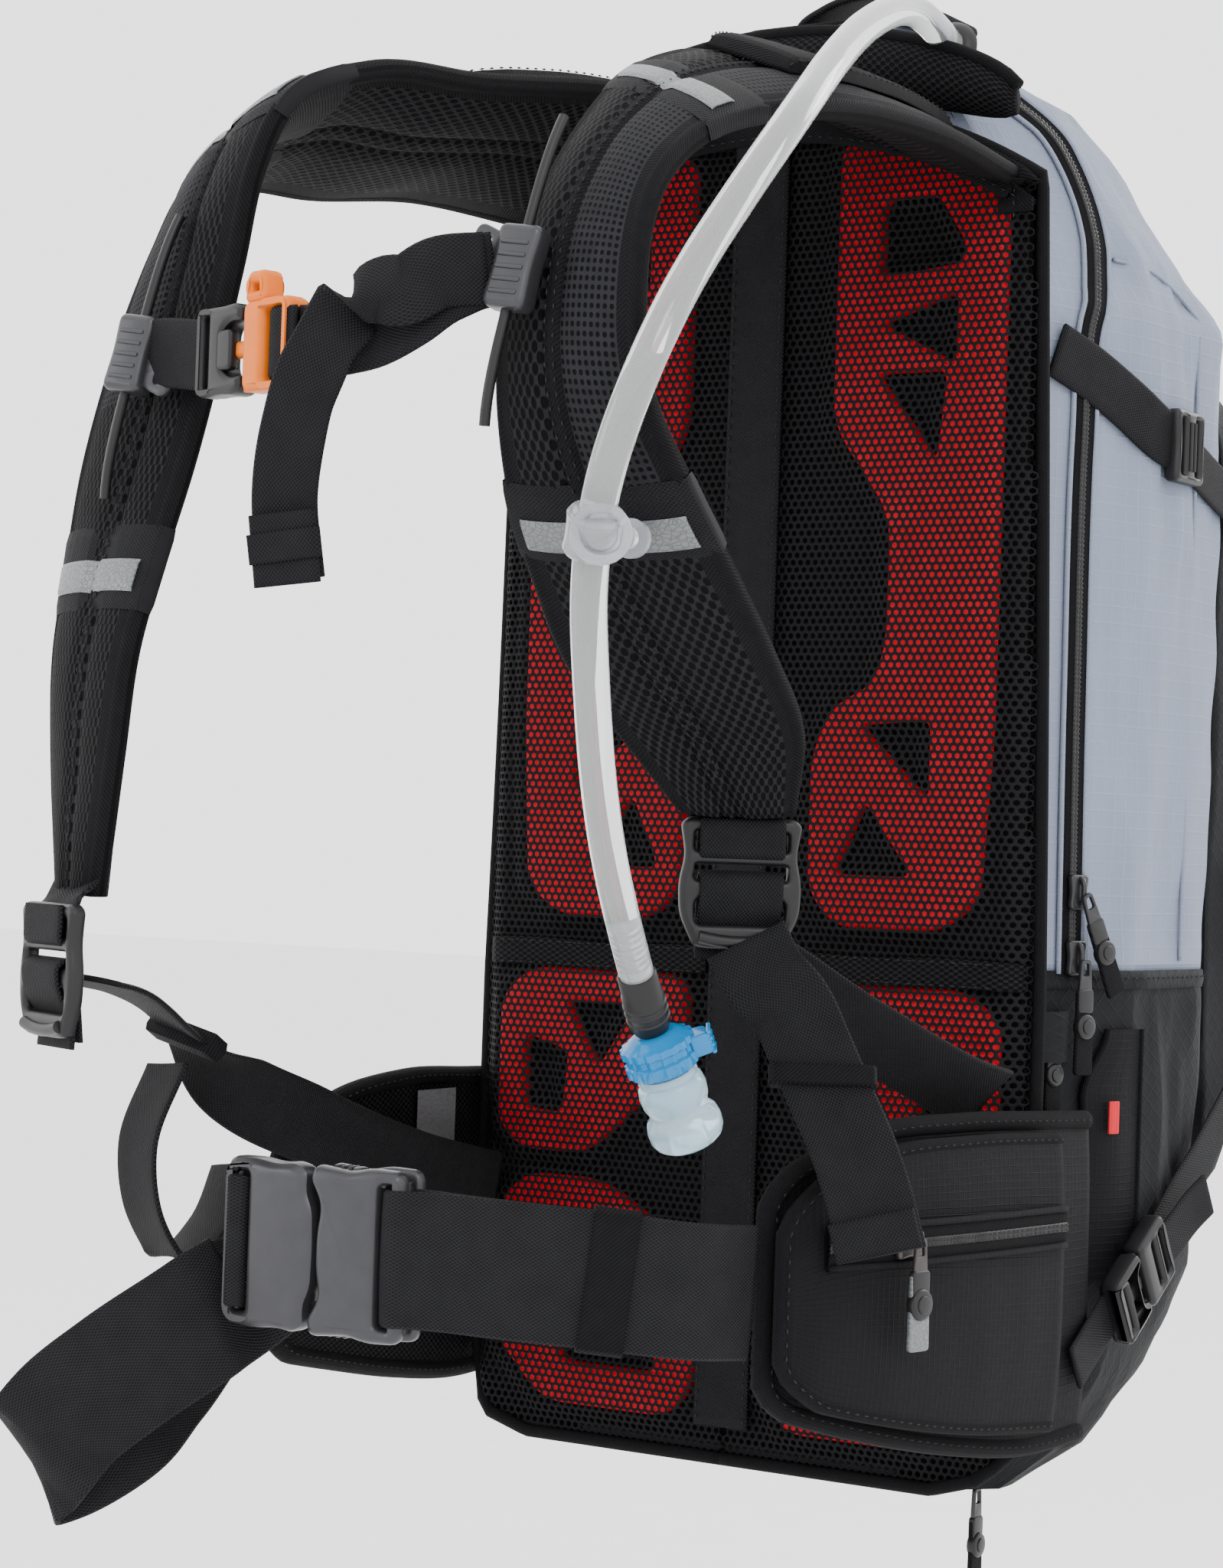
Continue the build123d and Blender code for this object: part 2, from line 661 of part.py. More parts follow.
# ---------------------------------------------------------------- chest strap
CHEST_RUN = Vector(0.96, -0.28, 0).normalized()
CHEST_OUT = Vector(-0.28, -0.96, 0).normalized()
CHEST_TALL, CHEST_THICK = 26.0, 9.0


def chest_plane(out):
    """x along the chest strap, y up, z away from the wearer."""
    return Plane(origin=CHEST + CHEST_OUT * out, x_dir=CHEST_RUN, z_dir=CHEST_OUT)


def chest_box(start, end, tall, thick):
    """A block of the chest buckle, centred on the strap."""
    return block(chest_plane(-thick / 2), ((start + end) / 2, 0), (end - start, tall), thick)


with BuildPart() as sternum_buckle_female:
    add(chest_box(-22, -0.2, CHEST_TALL, CHEST_THICK))
    add(chest_box(-14, 1, CHEST_TALL + 1, 5.2), mode=Mode.SUBTRACT)
    add(chest_box(-19.5, -16.5, CHEST_WEB + 1, CHEST_THICK + 1), mode=Mode.SUBTRACT)
sternum_buckle_female.part.label = "sternum_buckle_female"
export_step(sternum_buckle_female.part, "parts/sternum_buckle_female.step")

# the male half carries a whistle whose mouthpiece stands above the strap
with BuildPart() as sternum_buckle_male:
    add(chest_box(0.2, 22, CHEST_TALL, CHEST_THICK))
    add(chest_box(16.5, 19.5, CHEST_WEB + 1, CHEST_THICK + 1), mode=Mode.SUBTRACT)
    add(chest_box(-12, 0.4, 6, 4.2))
    with BuildSketch(chest_plane(-2.1)):
        for sign in (1, -1):
            with BuildLine():
                Polyline(
                    (0.4, sign * 8), (0.4, sign * 11.5), (-4, sign * 12.8), (-10, sign * 12.6),
                    (-10, sign * 8), close=True,
                )
            make_face()
    extrude(amount=4.2)
    with BuildSketch(chest_plane(-CHEST_THICK / 2)):
        with Locations((5, CHEST_TALL / 2 + 4)):
            Rectangle(9, 8.4)
    extrude(amount=CHEST_THICK)
sternum_buckle_male.part.label = "sternum_buckle_male"
export_step(sternum_buckle_male.part, "parts/sternum_buckle_male.step")

FEMALE_WEB_END = tuple(CHEST + CHEST_RUN * -22.6)
MALE_WEB_END = tuple(CHEST + CHEST_RUN * 22.6)
CHEST_RIGHT = [
    ((-75.5, -207.5, 331), UPRIGHT),
    ((-66, -210.5, 330), UPRIGHT),
    (FEMALE_WEB_END, UPRIGHT),
]
CHEST_LEFT = [
    (MALE_WEB_END, UPRIGHT),
    ((12, -232, 327), UPRIGHT),
    ((28, -231, 331), (0, 0.15, 1)),
    ((40, -229, 339), (0, 0.1, 1)),
    ((47.5, -225, 344), UPRIGHT),
]
CHEST_TAIL = [
    ((19, -237, 336), (0.7, 0.3, 0.7)),
    ((8, -241, 321), (0.9, 0.2, 0.3)),
    ((1, -241, 303), (0.95, 0.2, 0.1)),
    ((-3, -239, 285), (0.95, 0.2, 0.05)),
    ((-1, -237, 262), (0.97, 0.2, -0.1)),
]
for name, run in (
    ("sternum_webbing_right", CHEST_RIGHT),
    ("sternum_webbing_left", CHEST_LEFT),
    ("sternum_tail", CHEST_TAIL),
):
    with BuildPart() as chest_webbing:
        add(webbing(run, CHEST_WEB))
    chest_webbing.part.label = name
    export_step(chest_webbing.part, f"parts/{name}.step")


# ---------------------------------------------------------------- keepers
def keeper(centre, across, along, width, deep, tall):
    """A flat ring that holds two layers of webbing together."""
    along = along.normalized()
    with BuildPart() as ring:
        with BuildSketch(Plane(origin=centre - along * (tall / 2), x_dir=across, z_dir=along)):
            RectangleRounded(width + 6, deep + 4, 1.4)
            Rectangle(width + 1.6, deep, mode=Mode.SUBTRACT)
        extrude(amount=tall)
    return ring.part


with BuildPart() as webbing_keepers:
    add(keeper(Vector(94, -106.2, 130), Vector(0.8, 0.6, 0), Vector(0.27, -0.37, -0.89),
               SHOULDER_WEB + 3, 4.4, 5))
    add(keeper(Vector(-92, -165, 132), Vector(0.8, -0.55, 0.1), Vector(0.03, 0.82, -0.5),
               SHOULDER_WEB + 2, 6.4, 5))
    add(keeper(Vector(63, -168, 74), Vector(0, 0, 1), Vector(-0.79, -0.61, 0.1),
               BELT_WEB, 8, 15))
webbing_keepers.part.label = "webbing_keepers"
export_step(webbing_keepers.part, "parts/webbing_keepers.step")

# ---------------------------------------------------------------- drink tube
TUBE_ROUTE = [
    (57, 22, 455), (60, 0, 460), (66, -28, 457), (79, -73, 441), (94, -118, 420),
    (107, -157, 400), (107, -190, 367), (105, -218, 340), (100, -227.5, 312), (90, -225, 287),
    (79, -214, 263), (74, -203, 236), (70, -191, 206), (66, -174, 178), (62, -153, 152),
]
points = [Vector(*p) for p in TUBE_ROUTE]
radii = []
for before, at, after in zip(points, points[1:], points[2:]):
    first, second = at - before, after - at
    turn = first.get_angle(second)
    radii.append(0.45 * min(first.length, second.length) / tan(radians(turn) / 2))
with BuildPart() as drink_tube:
    with BuildLine() as route:
        FilletPolyline(*TUBE_ROUTE, radius=radii)
    with BuildSketch(Plane(origin=route.line @ 0, z_dir=route.line % 0)):
        Circle(TUBE_D / 2)
    sweep()
drink_tube.part.label = "drink_tube"
export_step(drink_tube.part, "parts/drink_tube.step")
tube_length = sum(edge.length for edge in route.edges())
print("tube radii", [round(r) for r in radii], "length", round(tube_length))
print("tube volume ratio", drink_tube.part.volume / (pi * TUBE_D**2 / 4 * tube_length))

# grommet in the top of the bag, where the tube comes out
PORT_OUT = (points[1] - points[0]).normalized()
with BuildPart() as tube_port:
    with BuildSketch(Plane(origin=points[0], z_dir=PORT_OUT)):
        Circle(TUBE_D / 2 + 3)
        Circle(TUBE_D / 2 + 0.6, mode=Mode.SUBTRACT)
    extrude(amount=3.5)
tube_port.part.label = "tube_port"
export_step(tube_port.part, "parts/tube_port.step")

# soft cuff and plug at the tube's end, then the valve that turns to shut
TUBE_END = points[-1]
TUBE_OUT = (points[-1] - points[-2]).normalized()
with BuildPart() as tube_connector:
    with BuildSketch(Plane(origin=TUBE_END + TUBE_OUT * 0.1, z_dir=TUBE_OUT)):
        Circle(TUBE_D / 2 + 1)
    extrude(amount=12)
tube_connector.part.label = "tube_connector"
export_step(tube_connector.part, "parts/tube_connector.step")

VALVE_BASE = TUBE_END + TUBE_OUT * 12.4
VALVE_OUT = Vector(0.12, 0.42, -0.86).normalized()
VALVE = Plane(origin=VALVE_BASE, z_dir=VALVE_OUT)
with BuildPart() as bite_valve_collar:
    with BuildSketch(VALVE.offset(2.5)):
        Circle(11)
    extrude(amount=10)
    # lever of the shut-off
    with BuildSketch(VALVE.offset(4)):
        with Locations((12.5, 0)):
            RectangleRounded(6, 9, 1.5)
    extrude(amount=7)
bite_valve_collar.part.label = "bite_valve_collar"
export_step(bite_valve_collar.part, "parts/bite_valve_collar.step")

with BuildPart() as bite_valve_tip:
    with BuildSketch(VALVE.offset(12.8)):
        Circle(10)
    extrude(amount=14)
    with BuildSketch(VALVE.offset(26.8)):
        Circle(11)
    extrude(amount=10)
bite_valve_tip.part.label = "bite_valve_tip"
export_step(bite_valve_tip.part, "parts/bite_valve_tip.step")

# clip that holds the tube on the left strap
CLIP_AT = (points[9] + points[10]) * 0.5
CLIP_RUN = (points[10] - points[9]).normalized()
with BuildPart() as hose_clip:
    ring_plane = Plane(origin=CLIP_AT - CLIP_RUN * 6, x_dir=(1, 0.4, 0), z_dir=CLIP_RUN)
    with BuildSketch(ring_plane):
        Circle(9)
        Circle(TUBE_D / 2 + 1.1, mode=Mode.SUBTRACT)
    extrude(amount=12)
    with BuildSketch(Plane.XZ.offset(-(CLIP_AT.Y + 8))):
        with Locations((CLIP_AT.X, CLIP_AT.Z)):
            Circle(5.5)
    extrude(amount=-14.5)
hose_clip.part.label = "hose_clip"
export_step(hose_clip.part, "parts/hose_clip.step")

# ---------------------------------------------------------------- zips
ZIP_LOW, ZIP_HIGH = 146.0, 366.0
ZIP_ALONG = 25.0
TAPE = 1.2


def side_box(out, along, low, high, wide, thick):
    """A block on the bag's left side."""
    return block(on_side(1, out), (along, (low + high) / 2), (wide, high - low), thick)


FRONT_ZIP_Y = 166.0
FRONT_ZIP_X = 105.6
with BuildPart() as zip_tracks:
    for sign in (1, -1):
        with BuildSketch(on_side(sign, GAP)):
            with Locations((sign * ZIP_ALONG, (ZIP_LOW + ZIP_HIGH) / 2)):
                Rectangle(12, ZIP_HIGH - ZIP_LOW)
        extrude(amount=TAPE)
        with BuildSketch(Plane.YZ.offset(sign * FRONT_ZIP_X)):
            with Locations((FRONT_ZIP_Y, 210)):
                Rectangle(8, 220)
        extrude(amount=sign * TAPE)
    wing_track = [((119.7, 3, 76), (119.7, 3, 87)), ((114.4, -41, 76), (114.4, -41, 87)),
                  ((105.4, -86, 76), (105.4, -86, 87))]
    add(band(wing_track, TAPE))
zip_tracks.part.label = "zip_tracks"
export_step(zip_tracks.part, "parts/zip_tracks.step")

SLIDER_OUT = GAP + TAPE + 0.2
for name, low in (("upper", 178.0), ("lower", 157.0)):
    with BuildPart() as main_zip_slider:
        add(side_box(SLIDER_OUT, ZIP_ALONG, low, low + 12, 9, 4.2))
    main_zip_slider.part.label = f"main_zip_slider_{name}"
    export_step(main_zip_slider.part, f"parts/main_zip_slider_{name}.step")

PULL_OUT = SLIDER_OUT + 4.4
MAIN_PULLS = {
    "upper": [(22, 182), (28, 182), (45, 154), (34, 148)],
    "lower": [(22, 161), (28, 161), (32, 126), (21.5, 126)],
}
for name, outline in MAIN_PULLS.items():
    with BuildPart() as main_zip_puller:
        with BuildSketch(on_side(1, PULL_OUT)):
            with BuildLine():
                Polyline(*outline, close=True)
            make_face()
        extrude(amount=2.4)
    main_zip_puller.part.label = f"main_zip_puller_{name}"
    export_step(main_zip_puller.part, f"parts/main_zip_puller_{name}.step")

# short zip of the side pocket: its puller hangs below a sewn fabric cap
with BuildPart() as side_zip_puller:
    add(side_box(GAP + 0.6, 16.0, 114, 142, 8, 3))
side_zip_puller.part.label = "side_zip_puller"
export_step(side_zip_puller.part, "parts/side_zip_puller.step")

with BuildPart() as base_zip_puller:
    with BuildSketch(Plane.XY.offset(-42)):
        with Locations((74, 40)):
            Rectangle(3, 9)
    extrude(amount=33.2)
base_zip_puller.part.label = "base_zip_puller"
export_step(base_zip_puller.part, "parts/base_zip_puller.step")

FRONT_SLIDER_X = FRONT_ZIP_X + TAPE + 0.2
with BuildPart() as front_zip_slider:
    with BuildSketch(Plane.YZ.offset(FRONT_SLIDER_X)):
        with Locations((FRONT_ZIP_Y, 190)):
            Rectangle(8, 11)
    extrude(amount=4)
front_zip_slider.part.label = "front_zip_slider"
export_step(front_zip_slider.part, "parts/front_zip_slider.step")

with BuildPart() as front_zip_puller:
    with BuildSketch(Plane.YZ.offset(FRONT_SLIDER_X + 4.3)):
        with Locations((FRONT_ZIP_Y, 175)):
            Rectangle(8, 32)
    extrude(amount=2.4)
front_zip_puller.part.label = "front_zip_puller"
export_step(front_zip_puller.part, "parts/front_zip_puller.step")

# the wing pocket's slider runs back along the straight front part of its zip
WING_RUN = (Vector(114.4, -41, 0) - Vector(105.4, -86, 0)).normalized()
WING_OUT = WING_RUN.cross(Vector(0, 0, 1)).normalized()
WING_ZIP_START = Vector(105.4, -86, 81.5) + WING_RUN * 8 + WING_OUT * (TAPE / 2 + 0.3)
WING_FACE = Plane(origin=WING_ZIP_START, x_dir=WING_RUN, z_dir=WING_OUT)
with BuildPart() as wing_zip_slider:
    with BuildSketch(WING_FACE):
        Rectangle(12, 8.5)
    extrude(amount=4)
wing_zip_slider.part.label = "wing_zip_slider"
export_step(wing_zip_slider.part, "parts/wing_zip_slider.step")

with BuildPart() as wing_zip_puller:
    with BuildSketch(WING_FACE.offset(4.3)):
        with Locations((0, -15)):
            Rectangle(10, 33)
    extrude(amount=2.4)
wing_zip_puller.part.label = "wing_zip_puller"
export_step(wing_zip_puller.part, "parts/wing_zip_puller.step")

# ---------------------------------------------------------------- compression straps
LOCK_Y, LOCK_Z = 84.0, 331.0
UPPER_FRONT = [
    ((BAG_HALF + 1.6, LOCK_Y + 12, LOCK_Z - 8), (BAG_HALF + 1.6, LOCK_Y + 12, LOCK_Z + 8)),
    ((112, 136, 310), (112, 136, 326)),
    ((108.5, 158, 304), (108.5, 158, 320)),
]
LOWER_RUN = Vector(0, 0.84, 0.54).normalized()
LOWER_UP = Vector(0, -0.54, 0.84).normalized()
LOWER_AT = Vector(BAG_HALF + 3, 62, 60)


def lower_edge(sign, distance, out=0.0):
    """The two edge points of the lower compression webbing, at a distance from its buckle."""
    middle = LOWER_AT + LOWER_RUN * distance + Vector(out, 0, 0)
    low, high = middle - LOWER_UP * 8, middle + LOWER_UP * 8
    return (sign * low.X, low.Y, low.Z), (sign * high.X, high.Y, high.Z)


with BuildPart() as compression_webbings:
    for sign in (1, -1):
        start, end = side_point(12, 2.8, 0), side_point(58, 2.8, 0)
        upper_back = [
            ((sign * start[0], start[1], 344), (sign * start[0], start[1], 362)),
            ((sign * end[0], end[1], 325), (sign * end[0], end[1], 342)),
        ]
        upper_front = UPPER_FRONT if sign > 0 else mirrored(UPPER_FRONT)
        add(band(upper_back, 1.6))
        add(band(upper_front, 1.6))
        add(band([lower_edge(sign, -44), lower_edge(sign, -19.6)], 1.6))
        add(band([lower_edge(sign, 21), lower_edge(sign, 60), lower_edge(sign, 104, -2)], 1.6))
compression_webbings.part.label = "compression_webbings"
export_step(compression_webbings.part, "parts/compression_webbings.step")

with BuildPart() as compression_locks:
    for sign in (1, -1):
        with BuildSketch(Plane.YZ.offset(sign * (BAG_HALF + 0.4))):
            with Locations((LOCK_Y, LOCK_Z)):
                RectangleRounded(22, 24, 3)
                with Locations((-5.5, 0), (5.5, 0)):
                    Rectangle(4, 18, mode=Mode.SUBTRACT)
        extrude(amount=sign * 6)
compression_locks.part.label = "compression_locks"
export_step(compression_locks.part, "parts/compression_locks.step")


def lower_plane(sign, out):
    """x along the lower webbing towards the front, z out of the bag's side."""
    origin = Vector(sign * (LOWER_AT.X + out), LOWER_AT.Y, LOWER_AT.Z)
    return Plane(origin=origin, x_dir=LOWER_RUN, z_dir=(sign, 0, 0))


def lower_box(sign, start, end, wide, low, high):
    """A block of the lower buckle between two heights above the webbing's plane."""
    return block(lower_plane(sign, low), ((start + end) / 2, 0), (end - start, wide), high - low)


with BuildPart() as lower_buckle_female:
    for sign in (1, -1):
        add(lower_box(sign, -19, 0, 24, -1.4, 7))
        add(lower_box(sign, -12, 1, 25, 0.6, 5), mode=Mode.SUBTRACT)
lower_buckle_female.part.label = "lower_buckle_female"
export_step(lower_buckle_female.part, "parts/lower_buckle_female.step")

for side, sign in (("left", 1), ("right", -1)):
    with BuildPart() as lower_buckle_male:
        add(lower_box(sign, 0.4, 20, 24, -1.4, 7))
        add(lower_box(sign, -10, 0.6, 6, 1, 4.6))
        for offset_up in (-9, 9):
            with BuildSketch(lower_plane(sign, 1)):
                with Locations((-4.2, offset_up)):
                    Rectangle(9.6, 4)
            extrude(amount=3.6)
    lower_buckle_male.part.label = f"lower_buckle_male_{side}"
    export_step(lower_buckle_male.part, f"parts/lower_buckle_male_{side}.step")
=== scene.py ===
from math import atan2, cos, pi, radians, sin, sqrt

import bmesh
import bpy
import numpy as np
from mathutils import Matrix, Vector, noise


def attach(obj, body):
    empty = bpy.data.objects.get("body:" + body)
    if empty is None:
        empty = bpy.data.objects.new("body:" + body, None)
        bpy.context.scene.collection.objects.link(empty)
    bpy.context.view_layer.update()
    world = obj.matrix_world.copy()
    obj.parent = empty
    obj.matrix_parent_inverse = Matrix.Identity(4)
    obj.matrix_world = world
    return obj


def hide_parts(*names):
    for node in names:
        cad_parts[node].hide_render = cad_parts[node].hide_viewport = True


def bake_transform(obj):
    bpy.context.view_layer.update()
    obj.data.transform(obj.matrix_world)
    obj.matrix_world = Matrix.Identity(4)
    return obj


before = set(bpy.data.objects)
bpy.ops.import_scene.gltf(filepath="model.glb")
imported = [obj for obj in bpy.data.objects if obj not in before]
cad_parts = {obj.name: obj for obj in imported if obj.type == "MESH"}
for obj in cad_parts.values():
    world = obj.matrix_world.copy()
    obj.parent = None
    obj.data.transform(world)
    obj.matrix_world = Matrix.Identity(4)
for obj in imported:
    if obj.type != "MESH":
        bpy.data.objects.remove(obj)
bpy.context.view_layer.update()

# Sizes below are in millimetres, except the camera's and the lights', and become metres when a mesh is made.
MM = 0.001

# ---------------------------------------------------------------- camera, light, floor
CAMERA_AT = Vector((0.5766, -0.9652, 0.1941))
CAMERA_TURN, CAMERA_TILT, CAMERA_ROLL = radians(33), radians(-1), radians(2)


def set_camera():
    """The camera looks from the wearer's left front, almost level and rolled a little."""
    turn, tilt, roll = CAMERA_TURN, CAMERA_TILT, CAMERA_ROLL
    back = Vector((sin(turn) * cos(tilt), -cos(turn) * cos(tilt), sin(tilt)))
    right = Vector((cos(turn), sin(turn), 0))
    up = back.cross(right)
    x_axis = right * cos(roll) + up * sin(roll)
    y_axis = up * cos(roll) - right * sin(roll)
    data = bpy.data.cameras.new("camera")
    data.lens = 79.1
    data.sensor_width = 36.0
    camera = bpy.data.objects.new("camera", data)
    rotation = Matrix((x_axis, y_axis, back)).transposed().to_4x4()
    camera.matrix_world = Matrix.Translation(CAMERA_AT) @ rotation
    bpy.context.scene.collection.objects.link(camera)
    bpy.context.scene.camera = camera


def area_light(name, place, target, size, watts):
    data = bpy.data.lights.new(name, "AREA")
    data.shape = "DISK"
    data.size = size
    data.energy = watts
    lamp = bpy.data.objects.new(name, data)
    aim = (Vector(target) - Vector(place)).to_track_quat("-Z", "Y")
    lamp.matrix_world = Matrix.Translation(place) @ aim.to_matrix().to_4x4()
    bpy.context.scene.collection.objects.link(lamp)


# ---------------------------------------------------------------- materials
def new_material(name, colour, rough, **sockets):
    m = bpy.data.materials.new(name)
    m.use_nodes = True
    shader = m.node_tree.nodes["Principled BSDF"]
    shader.inputs["Base Color"].default_value = (*colour, 1)
    shader.inputs["Roughness"].default_value = rough
    if rough > 0.5:
        shader.inputs["Specular IOR Level"].default_value = 0.07
    for key, value in sockets.items():
        shader.inputs[key.replace("_", " ")].default_value = value
    return m


def node(m, kind, props=None, **inputs):
    """A shader node with its inputs set or linked; returns its outputs."""
    made = m.node_tree.nodes.new("ShaderNode" + kind)
    for key, value in (props or {}).items():
        setattr(made, key, value)
    for key, value in inputs.items():
        socket = made.inputs[int(key[1:])] if key[1:].isdigit() else made.inputs[key]
        if isinstance(value, bpy.types.NodeSocket):
            m.node_tree.links.new(value, socket)
        else:
            socket.default_value = value
    return made.outputs


def link(m, output, name):
    shader = m.node_tree.nodes["Principled BSDF"]
    m.node_tree.links.new(output, shader.inputs[name])


def maths(m, operation, a, b=0.0):
    return node(m, "Math", {"operation": operation}, i0=a, i1=b)[0]


def place_in_mm(m, uv):
    """Coordinates in millimetres: the piece's own UV, or its place."""
    out = node(m, "TexCoord")["UV" if uv else "Object"]
    scale = 1.0 if uv else 1000.0
    return node(m, "VectorMath", {"operation": "SCALE"}, i0=out, Scale=scale)[0]


def wave(m, value, period, shift=0.0):
    """A sine of the given period, from 0 to 1."""
    turned = maths(m, "MULTIPLY_ADD", value, 2 * pi / period)
    turned.node.inputs[2].default_value = shift
    swing = maths(m, "SINE", turned)
    half = maths(m, "MULTIPLY_ADD", swing, 0.5)
    half.node.inputs[2].default_value = 0.5
    return half


def tint(m, factor, low, high):
    mixed = node(m, "Mix", {"data_type": "RGBA"}, Factor=factor)
    mixed[0].node.inputs[6].default_value = (*low, 1)
    mixed[0].node.inputs[7].default_value = (*high, 1)
    return mixed[2]


def noise_of(m, place, size, detail=3.0):
    return node(m, "TexNoise", Vector=place, Scale=1.0 / size, Detail=detail)[0]


def bump(m, height, distance, strength=1.0, normal=None):
    inputs = {"Height": height, "Distance": distance * MM, "Strength": strength}
    if normal is not None:
        inputs["Normal"] = normal
    return node(m, "Bump", **inputs)["Normal"]


def scaled(colour, share):
    return tuple(c * share for c in colour)


def webbing_material(name, colour, rib, cord):
    """Woven webbing: ribs across its length, broken by the lengthwise cords."""
    m = new_material(name, colour, 0.62)
    place = place_in_mm(m, True)
    axes = node(m, "SeparateXYZ", Vector=place)
    cords = wave(m, axes[0], cord * 2)
    first = maths(m, "MULTIPLY", wave(m, axes[1], rib), cords)
    other = maths(m, "MULTIPLY", wave(m, axes[1], rib, pi), maths(m, "SUBTRACT", 1.0, cords))
    height = maths(m, "ADD", first, other)
    wear = noise_of(m, place, 9.0)
    # painted shade and random tone: the hollows between the ribs are painted darker and their crests lighter,
    # as the light falls on them, and the wear noise varies the tone at random
    painted_shade_and_tone = maths(m, "MULTIPLY_ADD", height, 0.75)
    m.node_tree.links.new(maths(m, "MULTIPLY", wear, 0.35), painted_shade_and_tone.node.inputs[2])
    link(m, tint(m, painted_shade_and_tone, scaled(colour, 0.12), scaled(colour, 2.6)), "Base Color")
    link(m, bump(m, height, 0.35), "Normal")
    return m


def twill_material(name, colour, period=1.3, uv=True):
    """Diagonal twill binding."""
    m = new_material(name, colour, 0.75)
    place = place_in_mm(m, uv)
    axes = node(m, "SeparateXYZ", Vector=place)
    diagonal = maths(m, "ADD", axes[0], axes[1])
    if not uv:
        diagonal = maths(m, "ADD", diagonal, axes[2])
    lines = wave(m, diagonal, period)
    across = wave(m, axes[1] if uv else axes[2], 0.55)
    height = maths(m, "ADD", maths(m, "MULTIPLY", lines, 0.75), maths(m, "MULTIPLY", across, 0.25))
    lint = noise_of(m, place, 5.0, 6.0)
    # painted shade and random tone: the twill's grooves are painted darker and its raised lines lighter, and
    # the lint noise varies the tone at random
    painted_shade_and_tone = maths(m, "MULTIPLY", height, maths(m, "ADD", lint, 0.35))
    link(m, tint(m, painted_shade_and_tone, scaled(colour, 0.45), scaled(colour, 1.6)), "Base Color")
    link(m, bump(m, height, 0.25), "Normal")
    return m


def ripstop_material(name, colour, grid, slant, contrast, uv=True, rough=0.6):
    """Coated cloth with a fine weave and a raised grid of stronger threads, with painted shade along its folds
    and a painted highlight on the grid.
    """
    m = new_material(name, colour, rough)
    place = place_in_mm(m, uv)
    turned = node(m, "VectorRotate", {"rotation_type": "Z_AXIS"}, Vector=place, Angle=slant)[0]
    axes = node(m, "SeparateXYZ", Vector=turned)
    lines = [maths(m, "POWER", wave(m, axes[k], grid), 24.0) for k in (0, 1)]
    ridge = maths(m, "MAXIMUM", *lines)
    weave = maths(m, "MULTIPLY", wave(m, axes[0], 0.6), wave(m, axes[1], 0.6))
    stretched = node(m, "Mapping", Vector=place, Scale=(1 / 26, 1 / 90, 1 / 26))[0]
    folds = node(m, "TexNoise", Vector=stretched, Scale=1.0, Detail=5.0, Distortion=0.6)[0]
    stain = noise_of(m, place, 2.2, 4.0)
    # painted shade and random tone: the colour follows the fold noise that also bumps the cloth, darker in the
    # folds' hollows, and the stain noise varies the tone at random
    painted_shade_and_tone = maths(m, "ADD", maths(m, "MULTIPLY", folds, 0.7), maths(m, "MULTIPLY", stain, 0.3))
    cloth = tint(m, painted_shade_and_tone, scaled(colour, 0.84), scaled(colour, 1.14))
    # painted highlight: the raised grid threads are painted lighter, as if catching the light
    mixed = node(m, "Mix", {"data_type": "RGBA"}, Factor=maths(m, "MULTIPLY", ridge, contrast))
    m.node_tree.links.new(cloth, mixed[0].node.inputs[6])
    mixed[0].node.inputs[7].default_value = (*scaled(colour, 1.55), 1)
    link(m, mixed[2], "Base Color")
    first = bump(m, folds, 2.2, 0.7)
    second = bump(m, maths(m, "ADD", ridge, maths(m, "MULTIPLY", weave, 0.4)), 0.16, 1.0, first)
    link(m, second, "Normal")
    rough_out = node(m, "MapRange", Value=stain, i3=rough - 0.08, i4=rough + 0.1)[0]
    link(m, rough_out, "Roughness")
    return m


def mesh_material(name, colour, pitch, square=False):
    """Spacer mesh: rows of open holes over dark foam, the holes painted near-black as the shade inside them.
    """
    m = new_material(name, colour, 0.7)
    place = place_in_mm(m, True)
    axes = node(m, "SeparateXYZ", Vector=place)
    height_period = pitch if square else pitch * sqrt(3)
    one = maths(m, "MULTIPLY", wave(m, axes[0], pitch), wave(m, axes[1], height_period))
    if square:
        holes = one
    else:
        other = maths(m, "MULTIPLY", wave(m, axes[0], pitch, pi), wave(m, axes[1], height_period, pi))
        holes = maths(m, "MAXIMUM", one, other)
    mask = node(m, "MapRange", Value=holes, i1=0.30, i2=0.62)[0]
    lint = noise_of(m, place, 6.0, 4.0)
    strand = tint(m, lint, scaled(colour, 0.7), scaled(colour, 1.5))
    # painted shade: the holes are painted near-black, as the shade inside them
    mixed = node(m, "Mix", {"data_type": "RGBA"}, Factor=mask)
    m.node_tree.links.new(strand, mixed[0].node.inputs[6])
    mixed[0].node.inputs[7].default_value = (*scaled(colour, 0.08), 1)
    link(m, mixed[2], "Base Color")
    link(m, bump(m, maths(m, "SUBTRACT", 1.0, mask), 0.7), "Normal")
    return m


def grain_material(name, colour, rough, grain=0.35, depth=0.03, spread=0.12, **sockets):
    """Moulded plastic, metal or rubber with fine grain and uneven shine."""
    m = new_material(name, colour, rough, **sockets)
    place = place_in_mm(m, False)
    fine = noise_of(m, place, grain, 2.0)
    broad = noise_of(m, place, 7.0, 4.0)
    link(m, tint(m, broad, scaled(colour, 0.86), scaled(colour, 1.16)), "Base Color")
    link(m, node(m, "MapRange", Value=broad, i3=rough - spread / 2, i4=rough + spread)[0], "Roughness")
    link(m, bump(m, fine, depth), "Normal")
    return m


